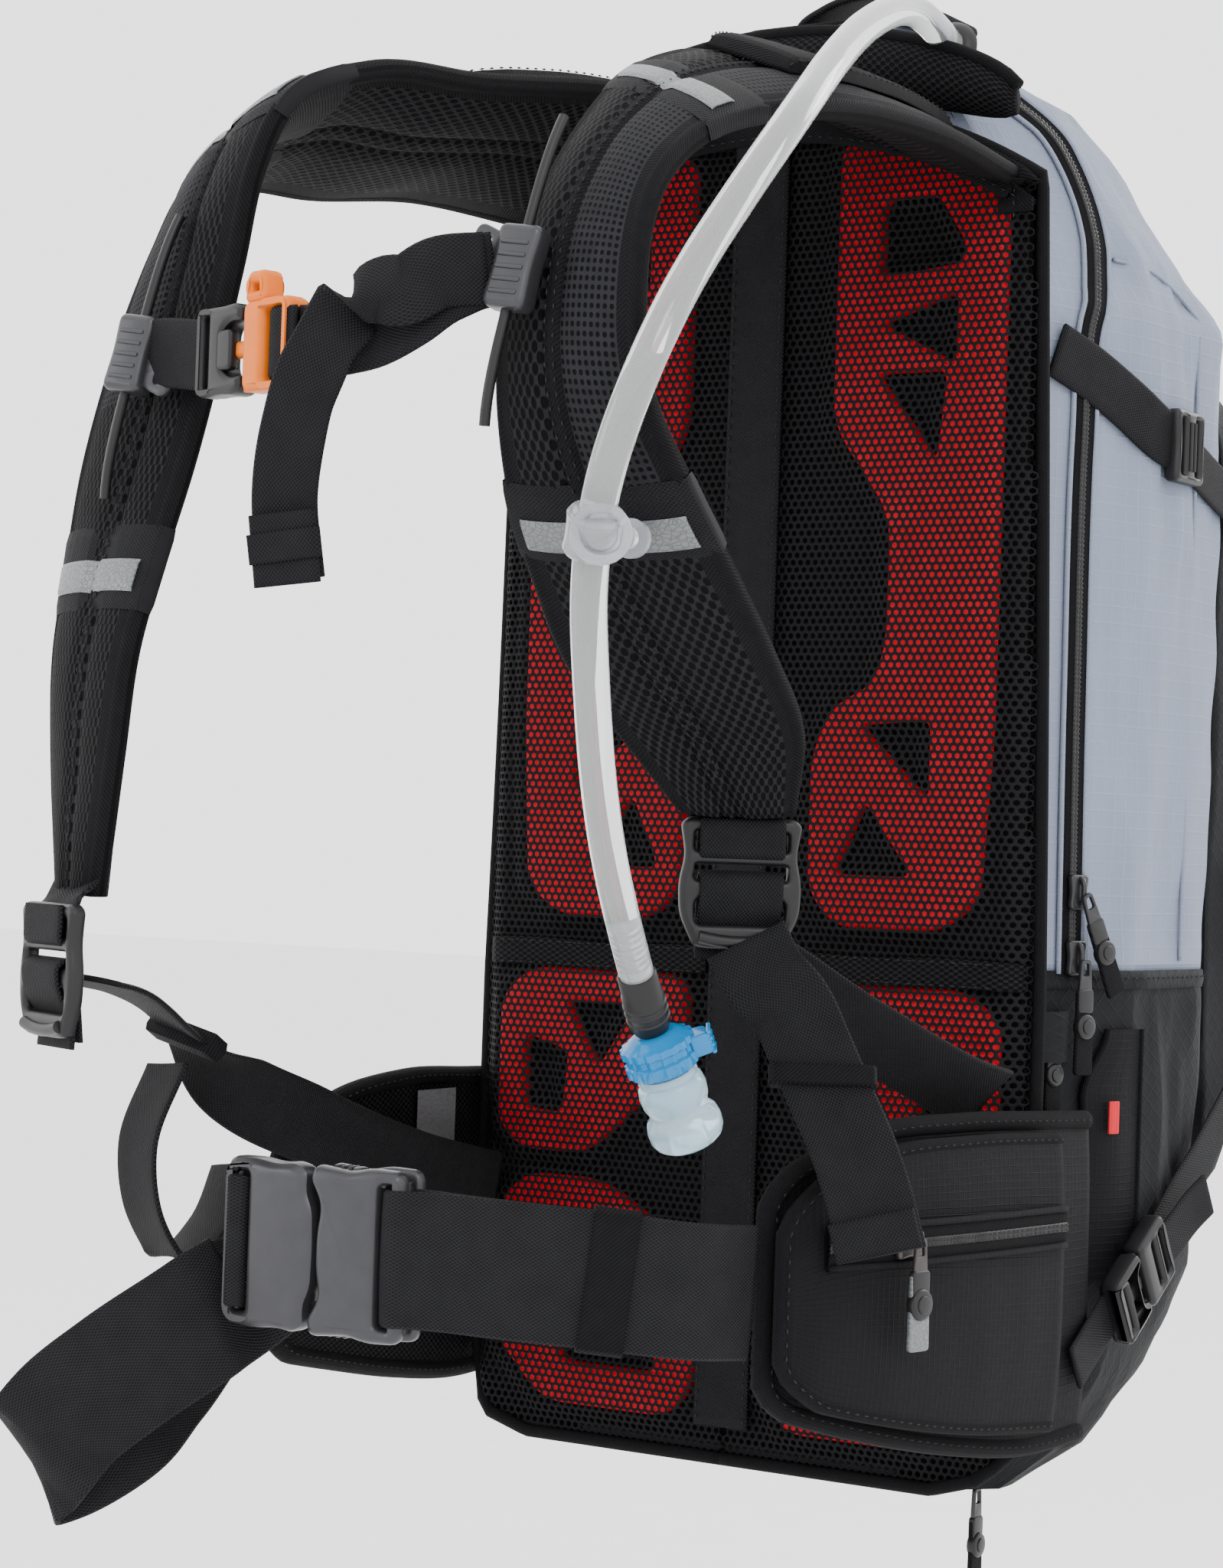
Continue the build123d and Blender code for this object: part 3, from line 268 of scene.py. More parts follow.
def foam_material():
    """Red closed-cell foam with a pebbled skin."""
    m = new_material("foam_red", (0.8, 0.006, 0.02), 0.55)
    place = place_in_mm(m, False)
    cells = node(m, "TexVoronoi", Vector=place, Scale=0.9)[0]
    broad = noise_of(m, place, 12.0)
    link(m, tint(m, broad, (0.66, 0.003, 0.014), (0.85, 0.012, 0.035)), "Base Color")
    link(m, bump(m, cells, 0.3), "Normal")
    return m


def reflective_material(name):
    """Glass-bead tape with a fine honeycomb of welded dots."""
    m = new_material(name, (0.26, 0.28, 0.29), 0.38, Metallic=0.25)
    place = place_in_mm(m, True)
    cells = node(m, "TexVoronoi", {"feature": "DISTANCE_TO_EDGE"}, Vector=place, Scale=0.7)[0]
    edge = node(m, "MapRange", Value=cells, i1=0.0, i2=0.12)[0]
    link(m, tint(m, edge, (0.085, 0.09, 0.093), (0.135, 0.143, 0.148)), "Base Color")
    link(m, bump(m, edge, 0.1), "Normal")
    return m


def clear_material(name, colour, rough, weight):
    """Clear soft plastic with faint streaks."""
    m = new_material(name, colour, rough, Transmission_Weight=weight, IOR=1.4)
    place = place_in_mm(m, False)
    streaks = noise_of(m, place, 14.0, 3.0)
    link(m, tint(m, streaks, scaled(colour, 0.9), scaled(colour, 1.05)), "Base Color")
    link(m, bump(m, noise_of(m, place, 5.0, 1.0), 0.03), "Normal")
    return m


GREY = (0.19, 0.215, 0.28)
RIPSTOP_GREY = ripstop_material("ripstop_pale", GREY, 5.5, 0.0, 0.16, rough=0.55)
RIPSTOP_BLACK = ripstop_material("ripstop_black", (0.0095, 0.0098, 0.011), 4.5, 0.75, 0.3)
WING_CLOTH = ripstop_material("wing_cloth", (0.0048, 0.0048, 0.0058), 2.4, 1.57, 0.35)
WEBBING = webbing_material("webbing_black", (0.0062, 0.0062, 0.007), rib=1.3, cord=0.55)
WIDE_WEBBING = webbing_material("webbing_wide", (0.0072, 0.0072, 0.008), rib=1.5, cord=0.5)
TWILL = twill_material("twill_black", (0.0058, 0.0058, 0.0067))
TWILL_PLACED = twill_material("twill_placed", (0.006, 0.006, 0.007), uv=False)
AIR_MESH = mesh_material("air_mesh", (0.013, 0.013, 0.015), 2.3, square=True)
DENSE_MESH = mesh_material("dense_mesh", (0.0085, 0.0085, 0.0098), 1.9)
HEX_MESH = mesh_material("hex_mesh", (0.011, 0.011, 0.0125), 3.1)
NET = grain_material("net_black", (0.0062, 0.0062, 0.0072), 0.6, grain=0.5, depth=0.08)
FOAM_RED = foam_material()
BOARD = grain_material("board_black", (0.004, 0.004, 0.0045), 0.8, grain=0.6, depth=0.15)
PLASTIC = grain_material("plastic_black", (0.007, 0.007, 0.008), 0.38, Specular_IOR_Level=0.3)
PLASTIC_GREY = grain_material("plastic_grey", (0.045, 0.045, 0.049), 0.3, Metallic=0.6,
                              Specular_IOR_Level=0.35)
PLASTIC_ORANGE = grain_material("plastic_orange", (0.66, 0.135, 0.0), 0.4, Specular_IOR_Level=0.25)
ZIP_METAL = grain_material("zip_metal", (0.03, 0.03, 0.032), 0.34, Metallic=0.6)
ZIP_BRONZE = grain_material("zip_bronze", (0.06, 0.056, 0.054), 0.36, Metallic=0.8, Specular_IOR_Level=0.3)
REFLECTIVE = reflective_material("reflective_tape")
TUBE = clear_material("tube_clear", (0.82, 0.83, 0.84), 0.08, 0.8)
CLIP_CLEAR = clear_material("clip_clear", (0.6, 0.62, 0.65), 0.14, 0.7)
TIP_CLEAR = clear_material("tip_clear", (0.62, 0.84, 0.93), 0.1, 0.6)
BLUE = clear_material("collar_blue", (0.0, 0.17, 0.42), 0.18, 0.1)
FILM = clear_material("film_clear", (0.6, 0.7, 0.78), 0.2, 0.7)
THREAD = grain_material("thread_black", (0.022, 0.022, 0.025), 0.6, grain=0.2, depth=0.05)
TAG_RED = ripstop_material("tag_red", (0.55, 0.02, 0.03), 1.2, 0.0, 0.1, uv=False)


# ---------------------------------------------------------------- mesh helpers
def vec(*point):
    return Vector(point)


def steps(count):
    return [k / count for k in range(count + 1)]


def lerp(a, b, t):
    return a + (b - a) * t


def bell(t):
    """0 at both ends of 0..1, and 1 in the middle."""
    return 4 * t * (1 - t)


def clamp(t):
    return min(max(t, 0.0), 1.0)


def smooth(t):
    t = clamp(t)
    return t * t * (3 - 2 * t)


def spline(stations, step=2.0):
    """A smooth run through stations, each a tuple of vectors, at about every step along the first."""
    last = len(stations) - 1
    gaps = [max((stations[i + 1][0] - stations[i][0]).length, 1e-6) for i in range(last)]

    def tangent(i, k):
        if i == 0:
            return (stations[1][k] - stations[0][k]) / gaps[0]
        if i == last:
            return (stations[last][k] - stations[last - 1][k]) / gaps[-1]
        first = (stations[i][k] - stations[i - 1][k]) / gaps[i - 1]
        second = (stations[i + 1][k] - stations[i][k]) / gaps[i]
        return (first * gaps[i] + second * gaps[i - 1]) / (gaps[i] + gaps[i - 1])

    out = []
    for i in range(last):
        count = max(1, round(gaps[i] / step))
        for j in range(count + (i == last - 1)):
            t = j / count
            made = []
            for k in range(len(stations[0])):
                a, b = stations[i][k], stations[i + 1][k]
                ta, tb = tangent(i, k) * gaps[i], tangent(i + 1, k) * gaps[i]
                made.append(
                    a * (2 * t**3 - 3 * t**2 + 1) + ta * (t**3 - 2 * t**2 + t)
                    + b * (3 * t**2 - 2 * t**3) + tb * (t**3 - t**2)
                )
            out.append(tuple(made))
    return out


def finish_piece(obj, body, nodes=()):
    if nodes:
        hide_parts(*nodes)
    if body:
        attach(obj, body)
    return obj


def make(name, verts, faces, body, materials, slot, nodes=(), uvs=None, face_mats=None, sharp=None):
    """A mesh piece from points in millimetres. Body None leaves it free."""
    mesh = bpy.data.meshes.new(name)
    mesh.from_pydata([tuple(c * MM for c in v) for v in verts], [], faces)
    for m in materials if isinstance(materials, (list, tuple)) else [materials]:
        mesh.materials.append(m)
    if uvs:
        layer = mesh.uv_layers.new(name="UVMap")
        for loop in mesh.loops:
            layer.data[loop.index].uv = uvs[loop.vertex_index]
    if face_mats:
        mesh.polygons.foreach_set("material_index", face_mats)
    mesh.polygons.foreach_set("use_smooth", [True] * len(mesh.polygons))
    mesh.update()
    if sharp:
        mesh.set_sharp_from_angle(angle=radians(sharp))
    obj = bpy.data.objects.new(name, mesh)
    bpy.context.scene.collection.objects.link(obj)
    return finish_piece(obj, body, nodes)


class Shape:
    """Vertices, faces, UVs and material numbers of one piece while it is put together."""

    def __init__(self):
        self.verts, self.faces, self.uvs, self.mats = [], [], [], []

    def skin(self, rings, us=None, vs=None, mat=None, caps=True, loop=True):
        """Joins rings of points into a tube, or a sheet when loop is false."""
        start, count = len(self.verts), len(rings[0])
        us = us or list(range(count))
        vs = vs or list(range(len(rings)))
        for ring, v in zip(rings, vs):
            for point, u in zip(ring, us):
                self.verts.append(tuple(point))
                self.uvs.append((u, v))
        span = count if loop else count - 1
        for i in range(len(rings) - 1):
            for j in range(span):
                k = (j + 1) % count
                a, b = start + i * count, start + (i + 1) * count
                self.faces.append((a + j, a + k, b + k, b + j))
                self.mats.append(mat(i, j) if mat else 0)
        if caps and loop:
            ends = (list(range(start, start + count))[::-1],
                    list(range(start + (len(rings) - 1) * count, start + len(rings) * count)))
            for end in ends:
                self.faces.append(tuple(end))
                self.mats.append(mat(0, 0) if mat else 0)

    def piece(self, name, body, materials, slot, nodes=(), sharp=None):
        obj = make(name, self.verts, self.faces, body, materials, slot, nodes, self.uvs, self.mats, sharp)
        work = bmesh.new()
        work.from_mesh(obj.data)
        bmesh.ops.recalc_face_normals(work, faces=work.faces)
        work.to_mesh(obj.data)
        work.free()
        return obj


def lengths(points):
    total, out = 0.0, [0.0]
    for a, b in zip(points, points[1:]):
        total += (b - a).length
        out.append(total)
    return out


def tangents(points):
    last = len(points) - 1
    return [(points[min(i + 1, last)] - points[max(i - 1, 0)]).normalized() for i in range(last + 1)]


def add_ribbon(shape, route, width, thick=1.8, step=2.0, cup=0.0, edge=0.8):
    """A flat webbing through (point, across) stations, with rounded selvedges."""
    run = spline([(vec(*p), vec(*a).normalized()) for p, a in route], step)
    points = [p for p, _ in run]
    half, t = width / 2, thick / 2
    flat = [lerp(-half + edge, half - edge, k) for k in steps(6)]
    profile = [(-half, -t * 0.4)] + [(u, -t) for u in flat] + [(half, -t * 0.4)]
    profile += [(half, t * 0.4)] + [(u, t) for u in reversed(flat)] + [(-half, t * 0.4)]
    rings = []
    for (point, across), along in zip(run, tangents(points)):
        across = across.normalized()
        out = across.cross(along).normalized()
        across = along.cross(out)
        bend = [cup * (1 - (u / half) ** 2) for u, _ in profile]
        rings.append([point + across * u + out * (n + c) for (u, n), c in zip(profile, bend)])
    us = [u + half for u, _ in profile]
    shape.skin(rings, us, lengths(points))


def stations(across, *points):
    """Ribbon stations that share one direction across."""
    return [(tuple(point), across) for point in points]


UPRIGHT = (0, 0, 1)


def ribbon(name, route, width, body, thick=1.8, nodes=(), material=None, **more):
    shape = Shape()
    add_ribbon(shape, route, width, thick, **more)
    return shape.piece(name, body, material or WEBBING, "webbing_black", nodes)


STITCHES = ([], [])


def stitch(points, out, length=2.4, gap=1.5, width=0.32):
    """A row of single stitches along points; out is the direction away from the cloth."""
    verts, faces = STITCHES
    marks = lengths(points)
    place = gap
    while place + length < marks[-1]:
        ends = []
        for mark in (place, place + length):
            i = max(k for k in range(len(marks) - 1) if marks[k] <= mark)
            t = (mark - marks[i]) / max(marks[i + 1] - marks[i], 1e-6)
            ends.append(points[i].lerp(points[i + 1], t))
        normal = out[min(i, len(out) - 1)] if isinstance(out, list) else out
        along = (ends[1] - ends[0]).normalized()
        side = along.cross(normal).normalized() * width
        middle = (ends[0] + ends[1]) / 2
        base = len(verts)
        verts += [ends[0], ends[1], middle + side, middle - side, middle + normal * width * 1.2]
        verts.append(middle - normal * width)
        for a, b, c in ((0, 2, 4), (2, 1, 4), (1, 3, 4), (3, 0, 4), (2, 0, 5), (1, 2, 5), (3, 1, 5),
                        (0, 3, 5)):
            faces.append((base + a, base + b, base + c))
        place += length + gap


def rounded(points, radius, count=5):
    """A closed outline with each corner turned into a short curve."""
    out, last = [], len(points)
    for i, corner in enumerate(points):
        before, at, after = (Vector(points[i - 1]), Vector(corner), Vector(points[(i + 1) % last]))
        cut = min(radius, (before - at).length * 0.45, (after - at).length * 0.45)
        a, b = at + (before - at).normalized() * cut, at + (after - at).normalized() * cut
        for t in steps(count):
            out.append(tuple(a * (1 - t) ** 2 + at * 2 * t * (1 - t) + b * t * t))
    return out


def box_outline(wide, tall, x=0.0, y=0.0, radius=1.0):
    w, h = wide / 2, tall / 2
    return rounded([(x - w, y - h), (x + w, y - h), (x + w, y + h), (x - w, y + h)], radius)


def circle_outline(radius, x=0.0, y=0.0, count=24):
    return [(x + radius * cos(2 * pi * k / count),
             y + radius * sin(2 * pi * k / count)) for k in range(count)]


def frame_of(origin, across, up=None, out=None):
    """A plane's matrix: x across, z out, in millimetres."""
    x_axis = vec(*across).normalized()
    z_axis = vec(*out).normalized() if out else x_axis.cross(vec(*up)).normalized()
    y_axis = z_axis.cross(x_axis).normalized()
    z_axis = x_axis.cross(y_axis)
    turn = Matrix((x_axis, y_axis, z_axis)).transposed().to_4x4()
    return Matrix.Translation(vec(*origin)) @ turn


def plate_mesh(outlines, thick, bevel):
    """A moulded plate with rounded edges, centred on its plane; later outlines are holes."""
    curve = bpy.data.curves.new("outline", "CURVE")
    curve.dimensions = "2D"
    curve.fill_mode = "BOTH"
    curve.extrude = max(thick / 2 - bevel, 0.01)
    curve.bevel_depth = bevel
    curve.bevel_resolution = 2
    curve.offset = -bevel
    for outline in outlines:
        line = curve.splines.new("POLY")
        line.points.add(len(outline) - 1)
        for point, at in zip(line.points, outline):
            point.co = (at[0], at[1], 0, 1)
        line.use_cyclic_u = True
    holder = bpy.data.objects.new("outline", curve)
    mesh = bpy.data.meshes.new_from_object(holder)
    bpy.data.objects.remove(holder)
    work = bmesh.new()
    work.from_mesh(mesh)
    bmesh.ops.remove_doubles(work, verts=work.verts, dist=0.002)
    bmesh.ops.recalc_face_normals(work, faces=work.faces)
    verts = [v.co.copy() for v in work.verts]
    work.verts.index_update()
    faces = [tuple(v.index for v in f.verts) for f in work.faces]
    work.free()
    return verts, faces


def add_plate(shape, outlines, thick, bevel, matrix, lift=0.0, bend=None, mat=0):
    """Adds a plate, standing lift above the matrix's plane; bend moves its points first."""
    verts, faces = plate_mesh(outlines, thick, bevel)
    base = len(shape.verts)
    for v in verts:
        local = Vector((v.x, v.y, v.z + lift))
        if bend:
            local = bend(local)
        shape.verts.append(tuple(matrix @ local))
        shape.uvs.append((v.x, v.y))
    for f in faces:
        shape.faces.append(tuple(base + k for k in f))
        shape.mats.append(mat)


def add_lathe(shape, profile, origin, axis, count=40, mat=0, ripple=None):
    """A turned form: profile is (distance along the axis, radius) pairs."""
    axis = vec(*axis).normalized()
    x_axis = axis.orthogonal().normalized()
    y_axis = axis.cross(x_axis)
    rings = []
    for along, radius in profile:
        ring = []
        for k in range(count):
            turn = 2 * pi * k / count
            r = radius + (ripple(along, turn) if ripple else 0)
            ring.append(vec(*origin) + axis * along + x_axis * (r * cos(turn)) + y_axis * (r * sin(turn)))
        rings.append(ring)
    shape.skin(rings, mat=(lambda i, j: mat))


def add_rod(shape, points, radius, count=10, mat=0):
    """A round rod or roll along points."""
    rings, side = [], None
    for point, along in zip(points, tangents(points)):
        side = (along.orthogonal() if side is None else side - along * side.dot(along)).normalized()
        other = along.cross(side)
        turns = [2 * pi * k / count for k in range(count)]
        rings.append([point + side * (radius * cos(a)) + other * (radius * sin(a)) for a in turns])
    shape.skin(rings, vs=lengths(points), us=[k * radius for k in range(count)], mat=(lambda i, j: mat))


def curve_line(points, step=2.0):
    return [p[0] for p in spline([(vec(*p),) for p in points], step)]


# ---------------------------------------------------------------- the drink tube
TUBE_ROUTE = [
    (57, 22, 455), (60, 0, 460), (66, -28, 457), (79, -73, 441), (94, -118, 420),
    (106, -157, 397), (107.5, -189, 368), (105.5, -214, 340), (99.5, -226, 312), (89.5, -225, 287),
    (79, -214, 263), (74, -203, 236), (70, -191, 206), (66, -174, 178), (62, -153, 152),
]
TUBE_LENGTH, TUBE_WIDE = 0.496, 0.010
TUBE_END = vec(*TUBE_ROUTE[-1])
TUBE_OUT = (TUBE_END - vec(*TUBE_ROUTE[-2])).normalized()
VALVE_BASE = TUBE_END + TUBE_OUT * 12.4
VALVE_OUT = vec(0.12, 0.42, -0.86).normalized()
# level directions across and out of the clip's face
FACE_ACROSS, FACE_OUT = vec(0.839, 0.545, 0), vec(0.545, -0.839, 0)


def tube_curve(name, bevel):
    data = bpy.data.curves.new(name, "CURVE")
    data.dimensions = "3D"
    data.resolution_u = 24
    data.bevel_depth = bevel
    data.bevel_resolution = 8
    data.use_fill_caps = bevel > 0
    line = data.splines.new("NURBS")
    line.points.add(len(TUBE_ROUTE) - 1)
    for point, at in zip(line.points, TUBE_ROUTE):
        point.co = (*(c * MM for c in at), 1)
    line.order_u = 3
    line.use_endpoint_u = True
    obj = bpy.data.objects.new(name, data)
    bpy.context.scene.collection.objects.link(obj)
    return obj


def tube_path():
    """Points along the tube's centre line, in millimetres."""
    bare = tube_curve("tube_line", 0)
    mesh = bpy.data.meshes.new_from_object(bare)
    points = [v.co.copy() / MM for v in mesh.vertices]
    bpy.data.objects.remove(bare)
    return points


def build_tube():
    tube = tube_curve("drink_tube_hose", TUBE_WIDE / 2)
    tube.data.materials.append(TUBE)
    finish_piece(tube, "pack", ["drink_tube"])

    cuff = Shape()
    barbs = [(-26, 3.4), (-26, 4.1)]
    for k in range(4):
        barbs += [(-25.5 + k * 4, 4.2), (-22.6 + k * 4, 3.5)]
    barbs += [(-9, 4.0), (-9, 3.0)]
    add_lathe(cuff, barbs, TUBE_END, TUBE_OUT, mat=0)
    sleeve = [(-8.5, 5.25), (-8, 5.6), (-2, 5.7), (-1.4, 6.0), (9.5, 6.0), (10.5, 5.4), (11.5, 5.2),
              (11.5, 3)]
    add_lathe(cuff, sleeve, TUBE_END, TUBE_OUT, mat=1)
    for k in range(3):
        ring = [(2 + k * 2.6 - 0.6, 5.9), (2 + k * 2.6, 6.35), (2 + k * 2.6 + 0.6, 5.9)]
        add_lathe(cuff, ring, TUBE_END, TUBE_OUT, mat=1)
    connector = cuff.piece("tube_connector_cuff", "pack", [CLIP_CLEAR, PLASTIC], "valve_soft",
                           ["tube_connector"], 40)

    collar = Shape()

    def ratchet(along, turn):
        return 0.55 * (cos(18 * turn) > 0.2) if 3.2 < along < 11.4 else 0.0

    body = [(0.6, 5.6), (1.4, 7.2), (2.6, 8.6), (3.4, 10.2), (5.4, 10.3), (5.9, 9.5), (7.9, 9.5), (8.4, 10.3)]
    body += [(11.2, 10.3), (12.2, 9.6), (12.4, 7.4)]
    add_lathe(collar, body, VALVE_BASE, VALVE_OUT, 96, ripple=ratchet)
    lever_side = VALVE_OUT.cross(FACE_ACROSS).cross(VALVE_OUT).normalized()
    lever = frame_of(VALVE_BASE + VALVE_OUT * 7.5 + lever_side * 12.2, lever_side, out=VALVE_OUT)
    outline = rounded([(-3, -4.5), (1.5, -4.2), (3.2, -1), (3.2, 3.4), (-3, 4.5)], 1.4)
    add_plate(collar, [outline], 6.4, 1.0, lever)
    for k in range(4):
        tooth = frame_of(VALVE_BASE + VALVE_OUT * (4.4 + 2 * k) + lever_side * 15.2, lever_side,
                         out=VALVE_OUT)
        add_plate(collar, [box_outline(1.2, 7, radius=0.4)], 1.0, 0.3, tooth)
    collar_piece = collar.piece("valve_collar_blue", "valve_collar", [BLUE], "valve_soft",
                                ["bite_valve_collar"], 40)

    tip = Shape()
    outer = [(12.9, 6.8), (13.2, 8.2), (14.4, 8.8), (15.6, 8.4), (16.4, 9.4), (19, 9.9), (22, 9.6),
             (24.2, 8.7)]
    outer += [(25.6, 8.9), (27, 10.2), (29.5, 10.9), (32.5, 10.8), (34.6, 9.8), (36.0, 8.0), (36.5, 6.0)]
    outer += [(36.2, 4.6), (34.8, 4.0), (31.5, 3.8), (31.0, 0.4)]
    add_lathe(tip, outer, VALVE_BASE, VALVE_OUT, 56)
    core = [(13.4, 3.0), (13.6, 5.6), (16, 6.0), (22, 5.6), (25, 4.2), (26, 2.0)]
    add_lathe(tip, core, VALVE_BASE, VALVE_OUT, 32, mat=1)
    slit = frame_of(VALVE_BASE + VALVE_OUT * 31.3, FACE_ACROSS, out=VALVE_OUT)
    add_plate(tip, [circle_outline(3.4), box_outline(4.4, 0.7, radius=0.3)], 0.8, 0.2, slit, mat=2)
    mouth = tip.piece("valve_tip_clear", "pack", [TIP_CLEAR, BLUE, CLIP_CLEAR], "valve_soft",
                      ["bite_valve_tip"], 50)

    start, out = vec(*TUBE_ROUTE[0]), (vec(*TUBE_ROUTE[1]) - vec(*TUBE_ROUTE[0])).normalized()
    port = Shape()
    add_lathe(port, [(0.1, 5.8), (0.1, 8.6), (1.2, 9.0), (2.4, 8.2), (3.6, 6.6), (3.8, 5.8)], start, out)
    port.piece("tube_port_grommet", "pack", [PLASTIC], "valve_soft", ["tube_port"], 40)


def build_hose_clip():
    """A clear snap ring round the tube, on a button sewn to the strap's middle band."""
    upper, lower = vec(*TUBE_ROUTE[9]), vec(*TUBE_ROUTE[10])
    middle, run = (upper + lower) / 2, (lower - upper).normalized()
    at = min(tube_path(), key=lambda p: (p - middle).length)
    clip = Shape()
    ring = [(-6, 5.5), (-6, 7.2), (-5, 7.9), (-2, 7.6), (2, 7.6), (5, 7.9), (6, 7.2), (6, 5.5)]
    add_lathe(clip, ring, at, run, 40)
    post = [(6.2, 3.2), (8, 3.0), (17, 3.0), (17.5, 5.4), (19.5, 5.2), (20, 2)]
    add_lathe(clip, post, at, (0, 1, 0), 28)
    disc = frame_of(at + vec(5.2, -4.6, -1), FACE_ACROSS, out=FACE_OUT)
    add_plate(clip, [circle_outline(8.2), circle_outline(5.4)], 2.2, 0.8, disc)
    add_plate(clip, [circle_outline(4.4)], 1.2, 0.5, disc, lift=-0.5)
    clip.piece("hose_clip_clear", "pack", [CLIP_CLEAR], "plastic_black", ["hose_clip"], 40)


# ---------------------------------------------------------------- the bag
# height, half-width, depth, front corner radius, distance of the back from the panel's face
BAG_LEVELS = [
    (-8, 84, 62, 20, 14), (4, 96, 92, 26, 14), (26, 104, 122, 30, 14), (60, 112, 142, 30, 14),
    (372, 112, 142, 30, 14), (392, 104, 126, 28, 14), (428, 86, 106, 26, 14), (442, 76, 96, 24, 17),
    (456, 52, 88, 20, 27), (466, 38, 84, 14, 36), (474, 26, 82, 10, 46),
]
SEAM = 158.0


def bag_level(z):
    """Half-width, depth, corner radius and back of the bag at a height."""
    heights = [level[0] for level in BAG_LEVELS]
    return [float(np.interp(z, heights, [level[k] for level in BAG_LEVELS])) for k in (1, 2, 3, 4)]


def bag_flat(z):
    half, depth, _, back = bag_level(z)
    return max(half - 18, half / 2), back + (depth - back) * 0.45


def bag_side_x(y, z):
    """Half-width of the bag at a depth and height."""
    half, depth, radius, back = bag_level(z)
    flat, middle = bag_flat(z)
    if y < middle:
        return flat + (half - flat) * (y - back) / (middle - back)
    if y > depth - radius:
        reach = min(y - (depth - radius), radius)
        return half - radius + sqrt(max(radius * radius - reach * reach, 0))
    return half


def side_normal(y, z, sign=1):
    dy = bag_side_x(y + 1, z) - bag_side_x(y - 1, z)
    dz = bag_side_x(y, z + 1) - bag_side_x(y, z - 1)
    return vec(sign * 2, -dy, -dz).normalized()


def on_side(y, z, lift=0.0, sign=1):
    return vec(sign * bag_side_x(y, z), y, z) + side_normal(y, z, sign) * lift


def slant(along, out, height, sign=1):
    """A point on the slanted side: along runs back, out leaves the bag."""
    run = vec(18, 58, 0).normalized()
    point = vec(94, 14, height) + run * along + vec(run.y, -run.x, 0) * out
    return vec(sign * point.x, point.y, point.z)


def bag_ring(z):
    """Points round the bag at a height, from the middle of the back to the left and round."""
    half, depth, radius, back = bag_level(z)
    flat, middle = bag_flat(z)
    half_ring = [(flat * k / 10, back) for k in range(10)]
    half_ring += [(lerp(flat, half, t), lerp(back, middle, t)) for t in steps(14)[:-1]]
    half_ring += [(half, lerp(middle, depth - radius, t)) for t in steps(12)[:-1]]
    for t in steps(8)[:-1]:
        turn = t * pi / 2
        half_ring.append((half - radius + radius * cos(turn), depth - radius + radius * sin(turn)))
    half_ring += [((half - radius) * (1 - t), depth) for t in steps(12)]
    other_half = [(-x, y) for x, y in reversed(half_ring[1:-1])]
    return [vec(x, y, z) for x, y in half_ring + other_half]


def crumple(point, out, size, tall, deep):
    """Soft folds that run mostly up and down."""
    at = vec(point.x / size, point.y / size, point.z / tall)
    return point + out * (deep * 1.5 * noise.noise(at) + deep * 0.7 * noise.noise(at * 2.7))


def bag_skin(low, high, step):
    levels = steps(max(2, round((high - low) / step)))
    rings = []
    for t in levels:
        z = lerp(low, high, t)
        ring = bag_ring(z)
        last = len(ring)
        made = []
        for k, point in enumerate(ring):
            along = ring[(k + 1) % last] - ring[k - 1]
            out = vec(along.y, -along.x, 0).normalized()
            keep = smooth((point.y - 44) / 18)
            seam = 1 - 0.8 * smooth(1 - abs(z - SEAM) / 12)
            fold = 0.6 + 0.9 * smooth((z - 60) / 60) * smooth((440 - z) / 60)
            made.append(crumple(point, out, 17, 75, 1.5 * keep * seam * fold))
        rings.append(made)
    girth = lengths(bag_ring(200) + [bag_ring(200)[0]])[:-1]
    return rings, girth, [lerp(low, high, t) for t in levels]


def build_bag():
    upper, lower = Shape(), Shape()
    rings, us, vs = bag_skin(SEAM, 474, 4)
    crown = [lerp(vec(0, 64, 474), p, 0.5) + vec(0, 0, 1.5) for p in rings[-1]]
    upper.skin(rings + [crown], us, vs + [478])
    upper.piece("bag_shell_pale", "pack", [RIPSTOP_GREY], "ripstop_pale", ["main_bag"])
    rings, us, vs = bag_skin(-8, SEAM, 4)
    lower.skin(rings, us, vs)
    lower.piece("bag_shell_base", "pack", [RIPSTOP_BLACK], "fabric_black", ["base_bag"])

    # the seam between the two cloths, lapped and sewn
    for sign in (1, -1):
        line = [on_side(y, SEAM, 0.9, sign) for y in range(16, 128, 3)]
        out = [side_normal(y, SEAM, sign) for y in range(16, 128, 3)]
        shape = Shape()
        low_edge = [p - vec(0, 0, 5) for p in line]
        bulge = [p - vec(0, 0, 2.5) + n * 0.5 for p, n in zip(line, out)]
        top = [p + vec(0, 0, 0.8) for p in line]
        hidden = [p - n * 2 for p, n in zip(top, out)]
        under = [p - n * 2 for p, n in zip(low_edge, out)]
        shape.skin(list(zip(under, low_edge, bulge, top, hidden)), [0, 2, 4, 6, 8], lengths(line), loop=False)
        side = "left" if sign > 0 else "right"
        shape.piece(f"base_seam_{side}", "pack", [RIPSTOP_BLACK], "fabric_black")
        stitch([p - vec(0, 0, 1.4) + n * 0.5 for p, n in zip(line, out)], out[0])
        # panel seams on the pale cloth: one down the side, one over the shoulder
        back_seam = [on_side(100, z, 0.5, sign) for z in range(162, 372, 4)]
        roll = Shape()
        add_rod(roll, back_seam, 0.75)
        shoulder = curve_line([on_side(y, z, 0.5, sign) for y,
                               z in ((54, 389), (72, 388), (92, 382), (104, 374))])
        add_rod(roll, shoulder, 0.7)
        roll.piece(f"side_seams_{side}", "pack", [RIPSTOP_GREY], "ripstop_pale")


